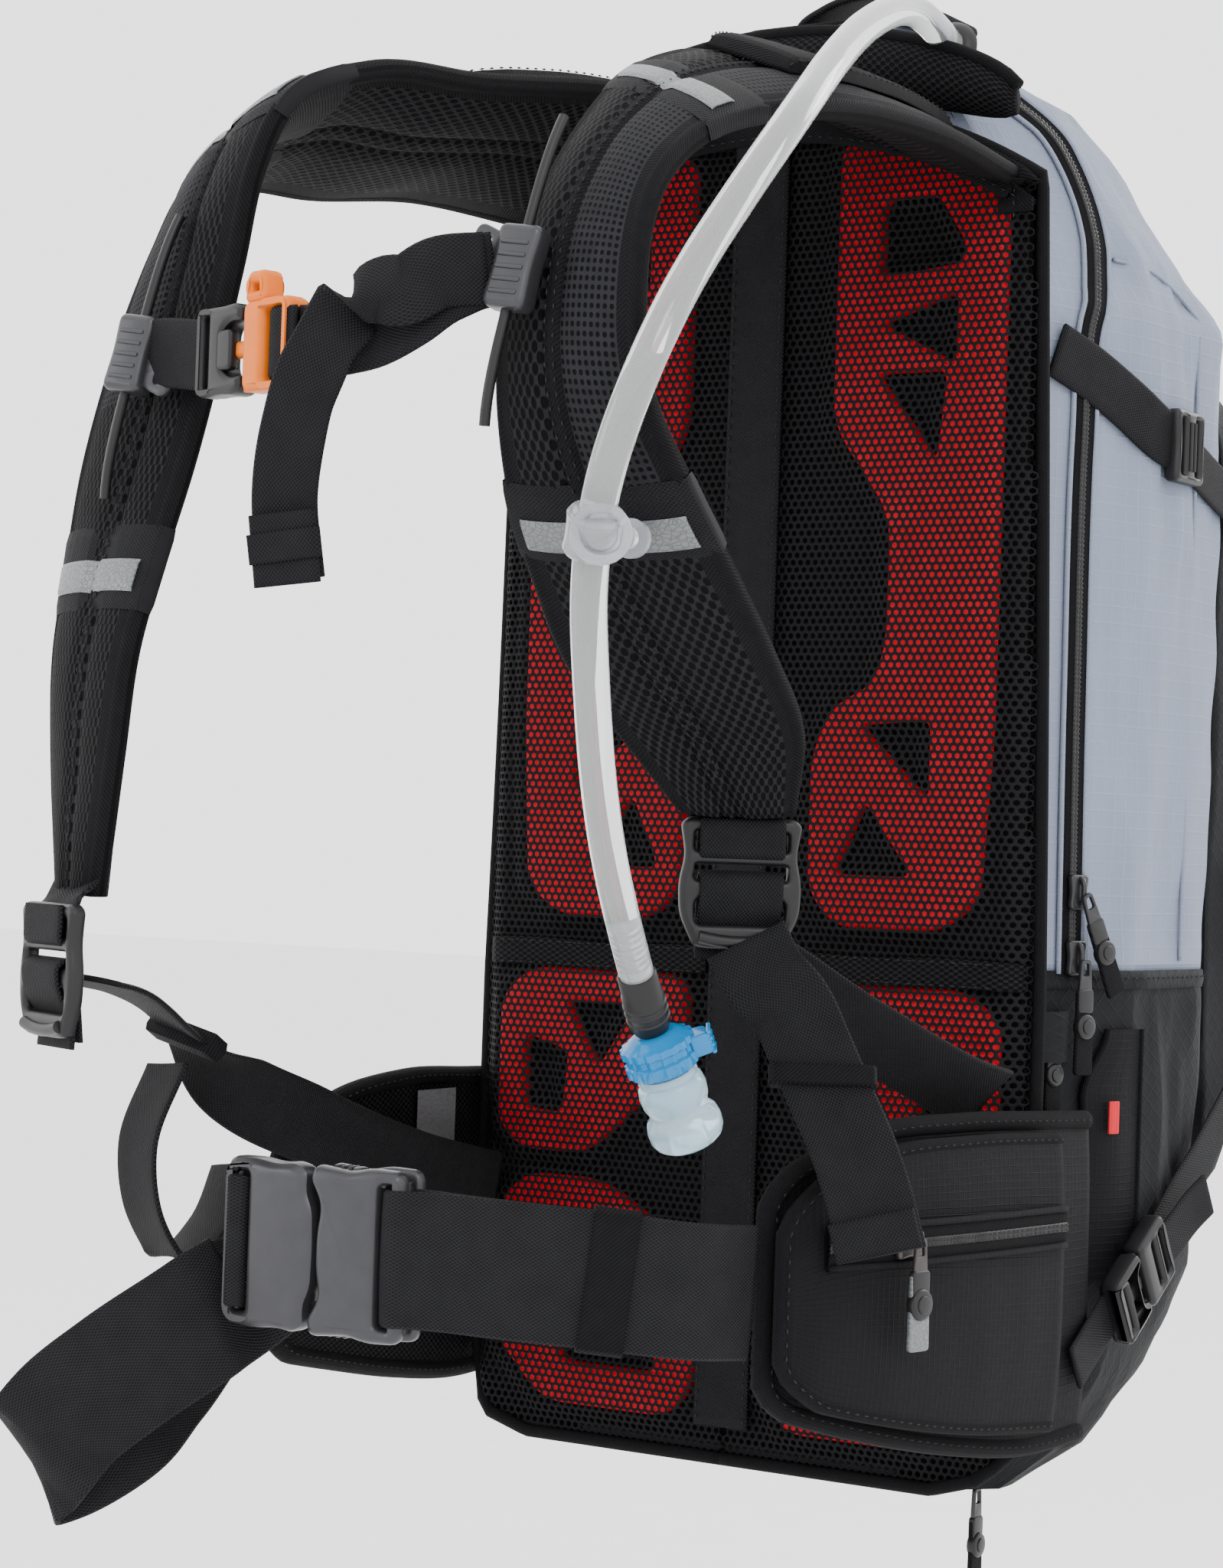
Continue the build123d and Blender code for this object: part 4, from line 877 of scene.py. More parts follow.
def coil_zip(name, path, normals, body, wide, coil, nodes=()):
    """A zip: two woven tapes and a raised coil of teeth between them."""
    shape = Shape()
    dense = spline([(p, n) for p, n in zip(path, normals)], 0.55)
    points = [p for p, _ in dense]
    rows = tangents(points)
    marks = lengths(points)
    tape, teeth = [], []
    for (p, n), along, mark in zip(dense, rows, marks):
        n = (n - along * n.dot(along)).normalized()
        side = along.cross(n)
        swell = 0.5 + 0.5 * sin(2 * pi * mark / 1.5)
        tape.append([p + side * u + n * h for u, h in (
            (-wide / 2, -0.4), (-wide / 2, 0.35), (-coil / 2 - 0.6, 0.45), (0, 0.3),
            (coil / 2 + 0.6, 0.45), (wide / 2, 0.35), (wide / 2, -0.4))])
        high, half = 0.75 + 0.6 * swell, coil / 2 * (0.8 + 0.2 * swell)
        teeth.append([p + side * u + n * h for u, h in (
            (-half, 0.3), (-half * 0.8, high), (-0.25, high), (0, 0.45), (0.25, high), (half * 0.8, high),
            (half, 0.3))])
    us = [0, 0.6, wide / 2 - coil / 2, wide / 2, wide / 2 + coil / 2, wide, wide + 0.6]
    shape.skin(tape[::3] + [tape[-1]], us, marks[::3] + [marks[-1]], loop=False)
    shape.skin(teeth, None, marks, mat=lambda i, j: 1, loop=False)
    return shape.piece(name, body, [TWILL, PLASTIC], "webbing_black", nodes)


def build_side_zips():
    """The long zips start over the shoulder, run down beside the panel and end above the base."""
    route = [(38, 440), (45, 432), (49, 420), (49.5, 404), (45, 386), (38, 366), (36, 330), (36, 250),
             (37.5, 158)]
    dense = [p[0] for p in spline([(vec(0, y, z),) for y, z in route], 6)]
    for sign, side in ((1, "left"), (-1, "right")):
        path = [on_side(p.y, p.z, 0.9, sign) for p in dense]
        normals = [side_normal(p.y, p.z, sign) for p in dense]
        coil_zip(f"side_zip_{side}", path, normals, "pack", 9.0, 3.0)
        # rain flaps: a narrow lip of the pale cloth on either side of the tape
        for edge, name in ((-1, "front"), (1, "rear")):
            lip = Shape()
            line = []
            for p, n, along in zip(path, normals, tangents(path)):
                across = along.cross(n).normalized()
                line.append(p + across * (5.4 * edge * sign) + n * 0.1)
            add_rod(lip, curve_line(line, 3), 0.9)
            lip.piece(f"side_zip_lip_{name}_{side}", "pack", [RIPSTOP_GREY], "ripstop_pale")


# distance back, half-width, lowest and highest point, corner radius
POCKET_LEVELS = [(142.3, 104, 60, 372, 40), (160, 105, 64, 372, 40), (176, 102, 76, 358, 38),
                 (190, 80, 104, 330, 34)]


def pocket_ring(y, shrink=0.0):
    depths = [level[0] for level in POCKET_LEVELS]
    half, low, high, radius = [float(np.interp(y, depths, [lv[k] for lv in POCKET_LEVELS])) for k in (1, 2,
        3, 4)]
    half, low, high = half - shrink, low + shrink, high - shrink
    radius = max(radius - shrink * 0.4, 8)
    ring = []
    corners = [(half - radius, high - radius, 0), (radius - half, high - radius, pi / 2),
               (radius - half, low + radius, pi), (half - radius, low + radius, 3 * pi / 2)]
    for (cx, cz, turn), (nx, nz, _) in zip(corners, corners[1:] + corners[:1]):
        ring += [vec(cx + radius * cos(turn + a * pi / 2), y,
                     cz + radius * sin(turn + a * pi / 2)) for a in steps(8)]
        end = ring[-1]
        target = vec(nx + radius * cos(turn + pi / 2), y, nz + radius * sin(turn + pi / 2))
        ring += [end.lerp(target, t) for t in steps(14)[1:-1]]
    return ring


def build_front_pocket():
    shape = Shape()
    levels = [142.3, 146, 150, 155, 160, 165, 170, 174, 176, 180, 184, 187, 189]
    rings = [pocket_ring(y) for y in levels]
    for shrink, y in ((6, 190.5), (16, 191.5), (34, 192.5), (56, 193), (74, 193)):
        rings.append([vec(p.x, y, p.z) for p in pocket_ring(190, shrink)])
    made = []
    for ring in rings:
        centre = vec(0, ring[0].y, 216)
        made.append([crumple(p, (p - centre).normalized() + vec(0, 0.6, 0), 22, 60, 1.2) for p in ring])
    girth = lengths(rings[0] + [rings[0][0]])[:-1]
    shape.skin(made, girth, [r[0].y * 1.2 for r in rings], mat=lambda i, j: 0 if i < 8 else 1)
    shape.piece("front_pocket_cloth", "pack", [RIPSTOP_BLACK, RIPSTOP_GREY], "ripstop_pale", ["front_pocket"])
    piping = Shape()
    edge = [p + vec(0, 0.6, 0) for p in pocket_ring(176.5)]
    add_rod(piping, edge + [edge[0]], 1.5)
    piping.piece("front_pocket_piping", "pack", [TWILL], "fabric_black")
    for sign, side in ((1, "left"), (-1, "right")):
        path = [vec(sign * 106.2, 166, z) for z in range(100, 321, 10)]
        coil_zip(f"front_zip_{side}", path, [vec(sign, 0, 0)] * len(path), "pack", 8.0, 3.0,
                 nodes=["zip_tracks"] if sign > 0 else ())


def build_side_pockets():
    """Stretch pockets low on both sides; their mouths are bound curves towards the wearer."""
    for sign, side in ((1, "left"), (-1, "right")):
        rows = []
        heights = [lerp(60, 140, t) for t in steps(26)]
        for z in heights:
            t = clamp((z - 60) / 80)
            mouth = 27 + 6 * bell(t) + 16 * smooth((z - 118) / 24)
            row = []
            for k in steps(12):
                along = lerp(mouth, 60, k)
                swell = 1.0 + 1.9 * sin(pi * min(1.0, k * 1.05)) * bell(clamp(t * 0.9 + 0.05)) + 0.9 * (1 - k)
                row.append(slant(along, swell, z, sign))
            row.append(slant(61, -0.5, z, sign))
            rows.append(row)
        shape = Shape()
        shape.skin(rows, None, heights, loop=False)
        shape.uvs = [(u * 2.4, v) for u, v in shape.uvs]
        shape.piece(f"side_pocket_{side}", "pack", [WING_CLOTH], "fabric_black",
                    ["side_pockets"] if sign > 0 else ())
        binding = Shape()
        add_rod(binding, [row[0] for row in rows], 1.3)
        add_rod(binding, [row[-2] for row in rows], 0.8)
        binding.piece(f"side_pocket_binding_{side}", "pack", [TWILL], "fabric_black")
    tag = Shape()
    place = frame_of(slant(43, 5.2, 112), (0.296, 0.955, 0), out=(0.955, -0.296, 0))
    add_plate(tag, [box_outline(4.6, 10.5, radius=0.6)], 0.9, 0.3, place)
    tag.piece("side_tag", "pack", [TAG_RED], "fabric_black")
    cap = Shape()
    rows = []
    for t in steps(14):
        z = lerp(118, 146, t)
        wide = 9 * smooth(t * 3) ** 0.5 + 1.0
        rows.append([slant(15 + u * wide, 0.8 + 4.4 * bell(clamp((u + 1) / 2)) * smooth(1.6 - t), z)
                     for u in (-1, -0.85, -0.6, -0.3, 0, 0.3, 0.6, 0.85, 1)])
    cap.skin(rows[6:], None, [lerp(118, 146, t) for t in steps(14)][6:], loop=False)
    cap.piece("side_zip_cap", "pack", [RIPSTOP_BLACK], "fabric_black")


def build_haul_loop():
    arch = ((-24.5, 472), (-24.5, 478.5), (-15, 484.5), (0, 487.5), (15, 484.5), (24.5, 478.5), (24.5, 472))
    ribbon("haul_loop_webbing", stations((0, 1, 0), *((x, 70, z) for x, z in arch)), 16, "pack", 2.6,
           ["haul_loop"], step=1.5)
    shape = Shape()
    add_plate(shape, [box_outline(76, 34, radius=7)], 3.0, 1.2,
              frame_of((0, 64, 474.5), (1, 0, 0), (0, 1, 0)))
    shape.piece("haul_loop_base", "pack", [TWILL_PLACED], "fabric_black")


# ---------------------------------------------------------------- the back panel
HALF_TOP, HALF_LOW = 98.0, 104.0
PANEL_TOP, PANEL_SHOULDER, PANEL_WAIST = 436, 408, 150
TOP_RISE = PANEL_TOP - PANEL_SHOULDER
TOP_RADIUS = (HALF_TOP**2 + TOP_RISE**2) / (2 * TOP_RISE)
TOP_CENTRE = PANEL_TOP - TOP_RADIUS


def panel_half(z):
    """Half-width of the panel at a height."""
    if z < 24:
        drop = clamp((24 - z) / 28)
        return HALF_LOW - 26 * (1 - sqrt(1 - drop * drop))
    if z < PANEL_WAIST:
        return HALF_LOW
    if z <= PANEL_SHOULDER:
        return lerp(HALF_LOW, HALF_TOP, (z - PANEL_WAIST) / (PANEL_SHOULDER - PANEL_WAIST))
    rise = z - TOP_CENTRE
    return sqrt(max(TOP_RADIUS * TOP_RADIUS - rise * rise, 0))


def panel_y(x):
    """The panel is flat in the middle and bends back at its sides."""
    return 9 * smooth((abs(x) - 93) / 11)


LONG_PAD = [
    (28, 425), (70, 416), (88, 402), (88, 232), (85, 180), (73, 170), (34, 170), (24, 182),
    (24, 226), (32, 242), (46, 248), (50, 262), (50, 302), (28, 332),
]
PADS = {
    "long": (LONG_PAD, [
        [(44, 404), (64, 404), (74, 388), (73, 382), (44, 379)], [(44, 364), (72, 373), (72, 350)],
        [(43, 348), (69, 348), (66, 319)], [(41, 235), (67, 237), (67, 211)],
        [(33, 187), (62, 187), (44, 211)],
    ]),
    "lumbar": ([(20, 152), (82, 152), (94, 142), (94, 98), (84, 90), (58, 90), (20, 124)],
               [[(40, 141), (68, 141), (54, 119)], [(66, 124), (84, 129), (84, 104), (68, 103)]]),
    "seat": ([(12, 20), (22, 6), (72, 6), (92, 26), (92, 72), (82, 82), (52, 82), (12, 60)],
             [[(28, 20), (64, 20), (76, 40), (76, 60), (28, 44)]]),
}


def inside_and_distance(points, outline):
    """For an array of (x, z): whether each is inside a closed outline, and how far it is from it."""
    a = np.array(outline, float)
    b = np.roll(a, -1, axis=0)
    within = np.zeros(len(points), bool)
    nearest = np.full(len(points), 1e9)
    for (ax, az), (bx, bz) in zip(a, b):
        crosses = (az > points[:, 1]) != (bz > points[:, 1])
        with np.errstate(divide="ignore", invalid="ignore"):
            at = (bx - ax) * (points[:, 1] - az) / (bz - az) + ax
        within ^= crosses & (points[:, 0] < at)
        run = np.array([bx - ax, bz - az])
        t = np.clip(((points - [ax, az]) @ run) / (run @ run), 0, 1)
        gap = np.linalg.norm(points - ([ax, az] + t[:, None] * run), axis=1)
        nearest = np.minimum(nearest, gap)
    return within, nearest


def pad_depth(points):
    """How far inside the pads each (|x|, z) lies: negative beside them and in their cut-outs."""
    best = np.full(len(points), -30.0)
    for outline, holes in PADS.values():
        within, gap = inside_and_distance(points, outline)
        depth = np.where(within, gap, -gap)
        for hole in holes:
            inner, gap = inside_and_distance(points, hole)
            depth = np.minimum(depth, np.where(inner, -gap, gap))
        best = np.maximum(best, depth)
    return best


def build_pads():
    for name, (outline, holes) in PADS.items():
        shape = Shape()
        for sign in (1, -1):
            flat = [rounded([(sign * x, z) for x, z in outline], 9)]
            flat += [rounded([(sign * x, z) for x, z in hole], 4.5) for hole in holes]
            add_plate(shape, flat, 7.3, 2.2, frame_of((0, 5.6, 0), (1, 0, 0), (0, 0, 1)))
        nodes = {"long": ["long_pads"], "lumbar": ["lumbar_pads"], "seat": ()}[name]
        pad = shape.piece(f"pads_{name}", "pack", [FOAM_RED], "foam_red", nodes, sharp=60)


NET_PITCH = 2.75
STRIP_HALF = 10.3


def build_net(sign):
    """Half of the panel's face: a net of hexagon holes, as real strands."""
    corner = NET_PITCH / sqrt(3)
    row_gap = NET_PITCH * sqrt(3) / 2
    known, verts, faces, uvs = {}, [], [], []

    def vertex(x, z, back):
        key = (round(x * 50), round(z * 50), round(back * 50))
        if key not in known:
            known[key] = len(verts)
            verts.append([x, back, z])
            uvs.append((x, z))
        return known[key]

    rows = int(444 / row_gap)
    for row in range(rows):
        z = -3 + row * row_gap
        half = panel_half(z) - 0.6
        count = int(half / NET_PITCH) + 1
        for k in range(count):
            x = (k + (row % 2) / 2 + 0.5) * NET_PITCH
            if x > half - 0.5 or (x < STRIP_HALF - 1.5 and 10 < z < 428):
                continue
            hole = 0.61 + 0.04 * noise.noise(vec(x * 0.2, z * 0.2, 3))
            ring = []
            for step in range(6):
                turn = pi / 6 + step * pi / 3
                dx, dz = corner * cos(turn), corner * sin(turn)
                ring.append((vertex(x + dx, z + dz, 0.0), vertex(x + dx * hole, z + dz * hole, 0.38)))
            for (a, b), (c, d) in zip(ring, ring[1:] + ring[:1]):
                faces.append((a, c, d, b))
    flat = np.array([[v[0], v[2]] for v in verts])
    depth = pad_depth(flat)
    shape = Shape()
    for v, d in zip(verts, depth):
        sink = 2.6 * smooth(-d / 6)
        ripple = 0.25 * noise.noise(vec(v[0] * 0.05, v[2] * 0.03, 1))
        shape.verts.append((sign * v[0],
                            0.25 + v[1] + panel_y(v[0]) + sink * smooth((100 - v[0]) / 8) + ripple, v[2]))
    shape.uvs = uvs
    shape.faces = faces
    shape.mats = [0] * len(faces)
    side = "left" if sign > 0 else "right"
    shape.piece(f"panel_net_{side}", "pack", [NET], "mesh_black", ["back_mesh"] if sign > 0 else ())


def outline_points(grow, low=-4.0, step=4.0):
    """The panel's edge from the middle of its foot up the left side to the middle of its top."""
    points = [(x, low - grow) for x in np.arange(0, 78, step)]
    for z in np.arange(low, PANEL_SHOULDER, step):
        points.append((panel_half(z) + grow, z))
    radius = TOP_RADIUS + grow
    start = atan2(PANEL_SHOULDER - TOP_CENTRE, HALF_TOP)
    for t in steps(30):
        turn = lerp(start, pi / 2, t)
        points.append((radius * cos(turn), TOP_CENTRE + radius * sin(turn)))
    return [(float(x), float(z)) for x, z in points]


def build_panel_edges():
    """Bound edge round the panel, the doubled hem under its top and the band between its pads."""
    for sign, side in ((1, "left"), (-1, "right")):
        roll, hem = Shape(), Shape()
        edge = [vec(sign * x, panel_y(x) + 2.2, z) for x, z in outline_points(0.6)]
        add_rod(roll, edge, 2.1, 12)
        roll.piece(f"panel_piping_{side}", "pack", [TWILL], "fabric_black",
                   ["panel_binding"] if sign > 0 else ())
        tilt = [((sign * x, panel_y(x) + 0.1, z), (sign * x, 0, z - TOP_CENTRE))
                for x, z in outline_points(-5.5) if z > 392]
        add_ribbon(hem, tilt, 12, 1.6, 3)
        hem.piece(f"panel_hem_{side}", "pack", [TWILL], "fabric_black")
        line = [vec(p[0][0], p[0][1] - 1.2, p[0][2]) for p in tilt]
        for rise in (4, -4):
            stitch([p + vec(0, 0, rise) for p in line], vec(0, -1, 0))
        band = Shape()
        across = [((sign * x, panel_y(x) + 0.4, 157 + 0.4 * sin(x * 0.1)), (0, 0, 1)) for x in range(11, 104,
            6)]
        add_ribbon(band, across, 9, 1.2, 3)
        band.piece(f"panel_band_{side}", "pack", [DENSE_MESH], "mesh_black")
        for z in (153.4, 160.6):
            stitch([vec(p[0][0], p[0][1] - 0.8, z) for p in across], vec(0, -1, 0))
        # cloth behind the net's edge and foot, so that no light shows between the net and the bag
        back = Shape()
        heights = [-3 + 4 * k for k in range(110) if -3 + 4 * k < 434]
        rows = []
        for z in heights:
            half = panel_half(z)
            row = [vec(sign * max(x, 0), 10.4, z) for x in (half - 26, half - 16, half - 8, half - 0.4)]
            rows.append(row + [vec(sign * (half - 0.2), panel_y(half) + 0.9, z)])
        back.skin(rows, [0, 10, 18, 26, 32], heights, loop=False)
        foot = [[vec(sign * x, y, -3.4) for y in (0.9, 4, 8, 13)] for x in range(0, 86, 6)]
        back.skin(foot, [0, 3, 7, 12], [r[0].x for r in foot], loop=False)
        back.piece(f"panel_backing_{side}", "pack", [DENSE_MESH], "mesh_black")
    strip = [((0, 0.7, z), (1, 0, 0)) for z in range(6, 432, 10)]
    ribbon("centre_strip_webbing", strip, 20.2, "pack", 1.5, ["centre_strip"], step=3)
    for x in (-8.8, 8.8):
        stitch([vec(x, -0.2, z) for z in range(6, 430, 8)], vec(0, -1, 0))


def build_yoke():
    """The padded mesh yoke between the strap roots and the top of the bag."""
    shape = Shape()
    rings = []
    for t in steps(44):
        x = lerp(-88, 88, t)
        rise = 1 - (x / 92) ** 2
        low, high = 422 + 18 * rise, 440 + 22 * rise
        end = sqrt(1 - (abs(x) / 89) ** 8)
        middle, tall = (low + high) / 2, (high - low) / 2 * (0.25 + 0.75 * end)
        ring = []
        for k in range(20):
            turn = 2 * pi * k / 20
            deep = 5.4 * (0.75 + 0.25 * rise) * (0.3 + 0.7 * end)
            ring.append(vec(x, 8.6 + deep * sin(turn) * (1 - 0.2 * cos(turn) ** 2),
                            middle + tall * cos(turn)))
        rings.append(ring)
    shape.skin(rings, [k * 2.2 for k in range(20)], [lerp(-88, 88, t) for t in steps(44)])
    yoke = shape.piece("yoke_pad", "pack", [DENSE_MESH], "mesh_black", ["yoke"])
    roll = Shape()
    add_rod(roll, [vec(r[0].x, 8.6, max(p.z for p in r) + 0.6) for r in rings], 2.3, 12)
    roll.piece("yoke_binding", "pack", [TWILL], "fabric_black")


# ---------------------------------------------------------------- shoulder straps
# pairs of points on the neck edge and on the arm edge, from the yoke down
LEFT_STRAP = [
    ((16, -0.5, 438), (93, -0.5, 407)), ((28, -60, 434), (98, -64, 408)), ((38, -118, 424), (96, -128, 402)),
    ((44, -160, 404), (92, -182, 386)), ((46, -186, 378), (93, -208, 366)),
    ((46, -204, 350), (94, -216, 345)),
    ((46, -209, 317), (96, -214, 312)), ((45, -202, 290), (98, -196, 290)),
    ((43, -185, 266), (98, -170, 267)),
    ((43, -168, 245), (95, -143, 247)), ((46, -146, 227), (89, -116, 227)),
    ((53, -124, 206), (79, -102, 206)),
]
RIGHT_STRAP = [
    ((-16, -0.5, 438), (-93, -0.5, 405)), ((-22, -56, 434), (-98, -60, 404)),
    ((-31, -116, 425), (-101, -112, 396)),
    ((-38, -160, 420), (-102, -144, 393)), ((-44, -190, 406), (-104, -164, 386)),
    ((-50, -198, 384), (-107, -174, 366)),
    ((-57, -196, 360), (-110, -181, 347)), ((-63, -197, 332), (-113, -187, 324)),
    ((-67, -203, 300), (-115, -193, 298)),
    ((-70, -212, 270), (-115, -198, 270)), ((-71, -220, 245), (-113, -204, 244)),
    ((-71, -225, 215), (-110, -206, 213)),
    ((-74, -225, 192), (-106, -208, 191)), ((-79, -222, 174), (-101, -211, 175)),
]


class Strap:
    """A padded strap: points on it by distance along, share across (0..1) and height above its padding."""

    def __init__(self, edges, outward):
        self.edges = [(vec(*a), vec(*b)) for a, b in edges]
        self.outward = outward
        mids = [((a + b) / 2, a, b) for a, b in self.edges]
        self.dense = spline(mids, 3.0)
        self.runs = tangents([m for m, _, _ in self.dense])
        self.marks = lengths([m for m, _, _ in self.dense])
        self.station_marks = []
        for m, _, _ in mids:
            near = min(range(len(self.dense)), key=lambda k: (self.dense[k][0] - m).length)
            self.station_marks.append(self.marks[near])

    def frame(self, k):
        """The neck edge, the arm edge, the way across and the way out at a dense station."""
        _, neck, arm = self.dense[k]
        across = (arm - neck).normalized()
        out = across.cross(self.runs[k]).normalized()
        return neck, arm, across, out * self.outward

    def half_thickness(self, u):
        """Half the padding's thickness: crowned in the middle, thin at the bound edges, sewn at the panels."""
        crown = 2.0 + 3.9 * (1 - abs(2 * u - 1) ** 3.2)
        for seam in (0.38, 0.5):
            crown -= 1.5 * max(0.0, 1 - abs(u - seam) / 0.035)
        return crown

    def at(self, mark, u, lift):
        """A point at a distance along the strap."""
        k = int(np.searchsorted(self.marks, mark))
        k = min(max(k, 0), len(self.dense) - 1)
        neck, arm, _, out = self.frame(k)
        return lerp(neck, arm, u) + out * (self.half_thickness(u) + lift), out


def build_strap(name, edges, outward):
    """A strap's padding, its bound edges and the stitches between its panels."""
    strap = Strap(edges, outward)
    shape = Shape()
    shares = [0.015, 0.04, 0.08, 0.11, 0.16, 0.24, 0.32, 0.36, 0.38, 0.4, 0.46, 0.48, 0.5, 0.52, 0.6, 0.7,
              0.8, 0.86, 0.9, 0.94, 0.985]
    rings = []
    for k in range(len(strap.dense)):
        neck, arm, _, out = strap.frame(k)
        ring = []
        for face in (1, -1):
            for u in (shares if face > 0 else shares[::-1]):
                point = lerp(neck, arm, u)
                crease = 0.35 * noise.noise(point * 0.06 + vec(face * 9, 0, 0))
                ring.append(point + out * face * (strap.half_thickness(u) + crease))
        rings.append(ring)
    wide = (strap.edges[4][1] - strap.edges[4][0]).length
    us = [u * wide for u in shares] + [u * wide for u in shares[::-1]]
    count = len(shares)

    low_part = strap.station_marks[7] + 8

    def cloth(i, j):
        """Twill panels and two kinds of mesh side by side; below the middle band it is all mesh."""
        u = shares[j] if j < count else shares[2 * count - 1 - j]
        if not 0.1 < u < 0.9:
            return 0
        if j >= count or strap.marks[i] > low_part:
            return 2
        if u < 0.38:
            return 2
        return 0 if u < 0.5 else 1

    shape.skin(rings, us, strap.marks, mat=cloth)
    pad = shape.piece(f"strap_pad_{name}", "pack", [TWILL, AIR_MESH, HEX_MESH], "mesh_black",
                      [f"shoulder_strap_{name}"])
    binding = Shape()
    for u in (0.0, 1.0):
        rings = []
        for k in range(len(strap.dense)):
            neck, arm, across, out = strap.frame(k)
            inward = across if u == 0 else -across
            centre = lerp(neck, arm, u) + inward * 3.0
            ring = []
            for turn in [2 * pi * j / 16 for j in range(16)]:
                flat = abs(cos(turn)) ** 0.7 * (1 if cos(turn) > 0 else -1)
                ring.append(centre - inward * 3.9 * flat + out * (3.1 + 0.5 * flat) * sin(turn))
            rings.append(ring)
        binding.skin(rings, [j * 1.4 for j in range(16)], strap.marks)
        edge = [lerp(r[0], r[8], 0.82) for r in rings]
        out = [strap.frame(k)[3] for k in range(len(rings))]
        stitch([p + n * 2.6 for p, n in zip(edge, out)], out)
    binding.piece(f"strap_binding_{name}", "pack", [TWILL], "fabric_black")
    for u in (0.41, 0.47):
        line = [strap.at(mark, u, 0.15) for mark in strap.marks[4:-4]]
        stitch([p for p, _ in line], [n for _, n in line])
    return strap


def strap_band(strap, name, start, end, material, lift, span):
    """A band round the strap, or a tape on its face when its span is less than the whole width."""
    shape = Shape()
    whole = span == WHOLE_WIDTH
    shares = [0.0, 0.02, 0.06, 0.12, 0.2, 0.3, 0.4, 0.5, 0.6, 0.7, 0.8, 0.88, 0.94, 0.98, 1.0]
    shares = [lerp(span[0], span[1], u) for u in shares]
    rings, marks = [], [lerp(start, end, t) for t in steps(8)]
    for n, mark in enumerate(marks):
        k = min(int(np.searchsorted(strap.marks, mark)), len(strap.dense) - 1)
        before = max(k - 1, 0)
        gap = max(strap.marks[k] - strap.marks[before], 1e-6)
        t = clamp((mark - strap.marks[before]) / gap)
        first, second = strap.frame(before), strap.frame(k)
        neck, arm = first[0].lerp(second[0], t), first[1].lerp(second[1], t)
        out = first[3].lerp(second[3], t).normalized()
        across = (arm - neck).normalized()
        soft = -0.5 if n in (0, len(marks) - 1) else 0.0
        ring = []
        for face in (1, -1):
            for u in (shares if face > 0 else shares[::-1]):
                spread = (2 * u - 1) * (lift + 0.6)
                high = max(strap.half_thickness(clamp(u)), 3.6 * (1 - abs(2 * u - 1) ** 14)) + lift + soft
                if not whole and face < 0:
                    high -= 0.6
                turned = face if whole else 1
                ring.append(lerp(neck, arm, u) + across * spread + out * turned * high)
        rings.append(ring)
    wide = 50.0
    us = [u * wide for u in shares] + [u * wide for u in shares[::-1]]
    # the weave's ribs run along the band, so u and v change places
    shape.skin(rings, us, marks, caps=False)
    shape.uvs = [(v, u) for u, v in shape.uvs]
    shape.piece(name, "pack", [material], "webbing_black")


# station, height, cloth and lift of each band; a bright tape lies on each webbing band
STRAP_BANDS = {
    "left": ((2.75, 28, WEBBING, 0.5), (2.8, 10, REFLECTIVE, 1.1), (7.3, 24, WEBBING, 0.5),
             (7.4, 10, REFLECTIVE, 1.1)),
    "right": ((3.75, 28, WEBBING, 0.5), (3.85, 10, REFLECTIVE, 1.1), (9.1, 26, WEBBING, 0.5),
              (9.2, 10, REFLECTIVE, 1.1)),
}
WHOLE_WIDTH, TAPE_SPAN = (0.0, 1.0), (0.08, 0.92)


def build_strap_bands(strap, name):
    for n, (station, tall, cloth, lift) in enumerate(STRAP_BANDS[name]):
        low = int(station)
        mark = lerp(strap.station_marks[low], strap.station_marks[low + 1], station - low)
        span = TAPE_SPAN if cloth is REFLECTIVE else WHOLE_WIDTH
        strap_band(strap, f"strap_band_{name}_{n}", mark - tall / 2, mark + tall / 2, cloth, lift, span)


def build_covers(straps):
    """Twill covers over the strap roots, sewn along their edges."""
    shape = Shape()
    for strap in straps:
        rings, marks = [], []
        end = strap.station_marks[2] - 6
        for t in steps(26):
            mark = lerp(6, end, t)
            k = min(int(np.searchsorted(strap.marks, mark)), len(strap.dense) - 1)
            neck, arm, _, out = strap.frame(k)
            up = out if out.z > 0 else -out
            taper = 0.05 * smooth((t - 0.8) / 0.2)
            shares = [lerp(0.10 + taper, 0.74 - taper, s) for s in (0, 0.03, 0.1, 0.25, 0.5, 0.75, 0.9, 0.97,
                1)]
            top, under = [], []
            for n, u in enumerate(shares):
                s = n / (len(shares) - 1)
                rise = 6.4 + 4.6 * bell(s) ** 0.5 * smooth(t / 0.12) * smooth((1.02 - t) / 0.08)
                base = lerp(neck, arm, u)
                top.append(base + up * rise)
                under.append(base + up * 6.0)
            rings.append(top + under[::-1])
            marks.append(mark)
        wide = [n * 6.0 for n in range(9)]
        shape.skin(rings, wide + wide[::-1], marks)
        for j in (1, 7):
            stitch([ring[j] + vec(0, 0, 0.4) for ring in rings], vec(0, 0, 1))
    cover = shape.piece("shoulder_cover_twill", "pack", [TWILL], "fabric_black", ["shoulder_covers"])


# ---------------------------------------------------------------- chest strap
RAIL_RUN = vec(0.14, 0.18, 1).normalized()
RAILS = {"left": vec(58, -221, 345), "right": vec(-86, -206.5, 331)}
CHEST = vec(-30, -222, 328)
CHEST_RUN = vec(0.96, -0.28, 0).normalized()
CHEST_OUT = vec(-0.28, -0.96, 0).normalized()


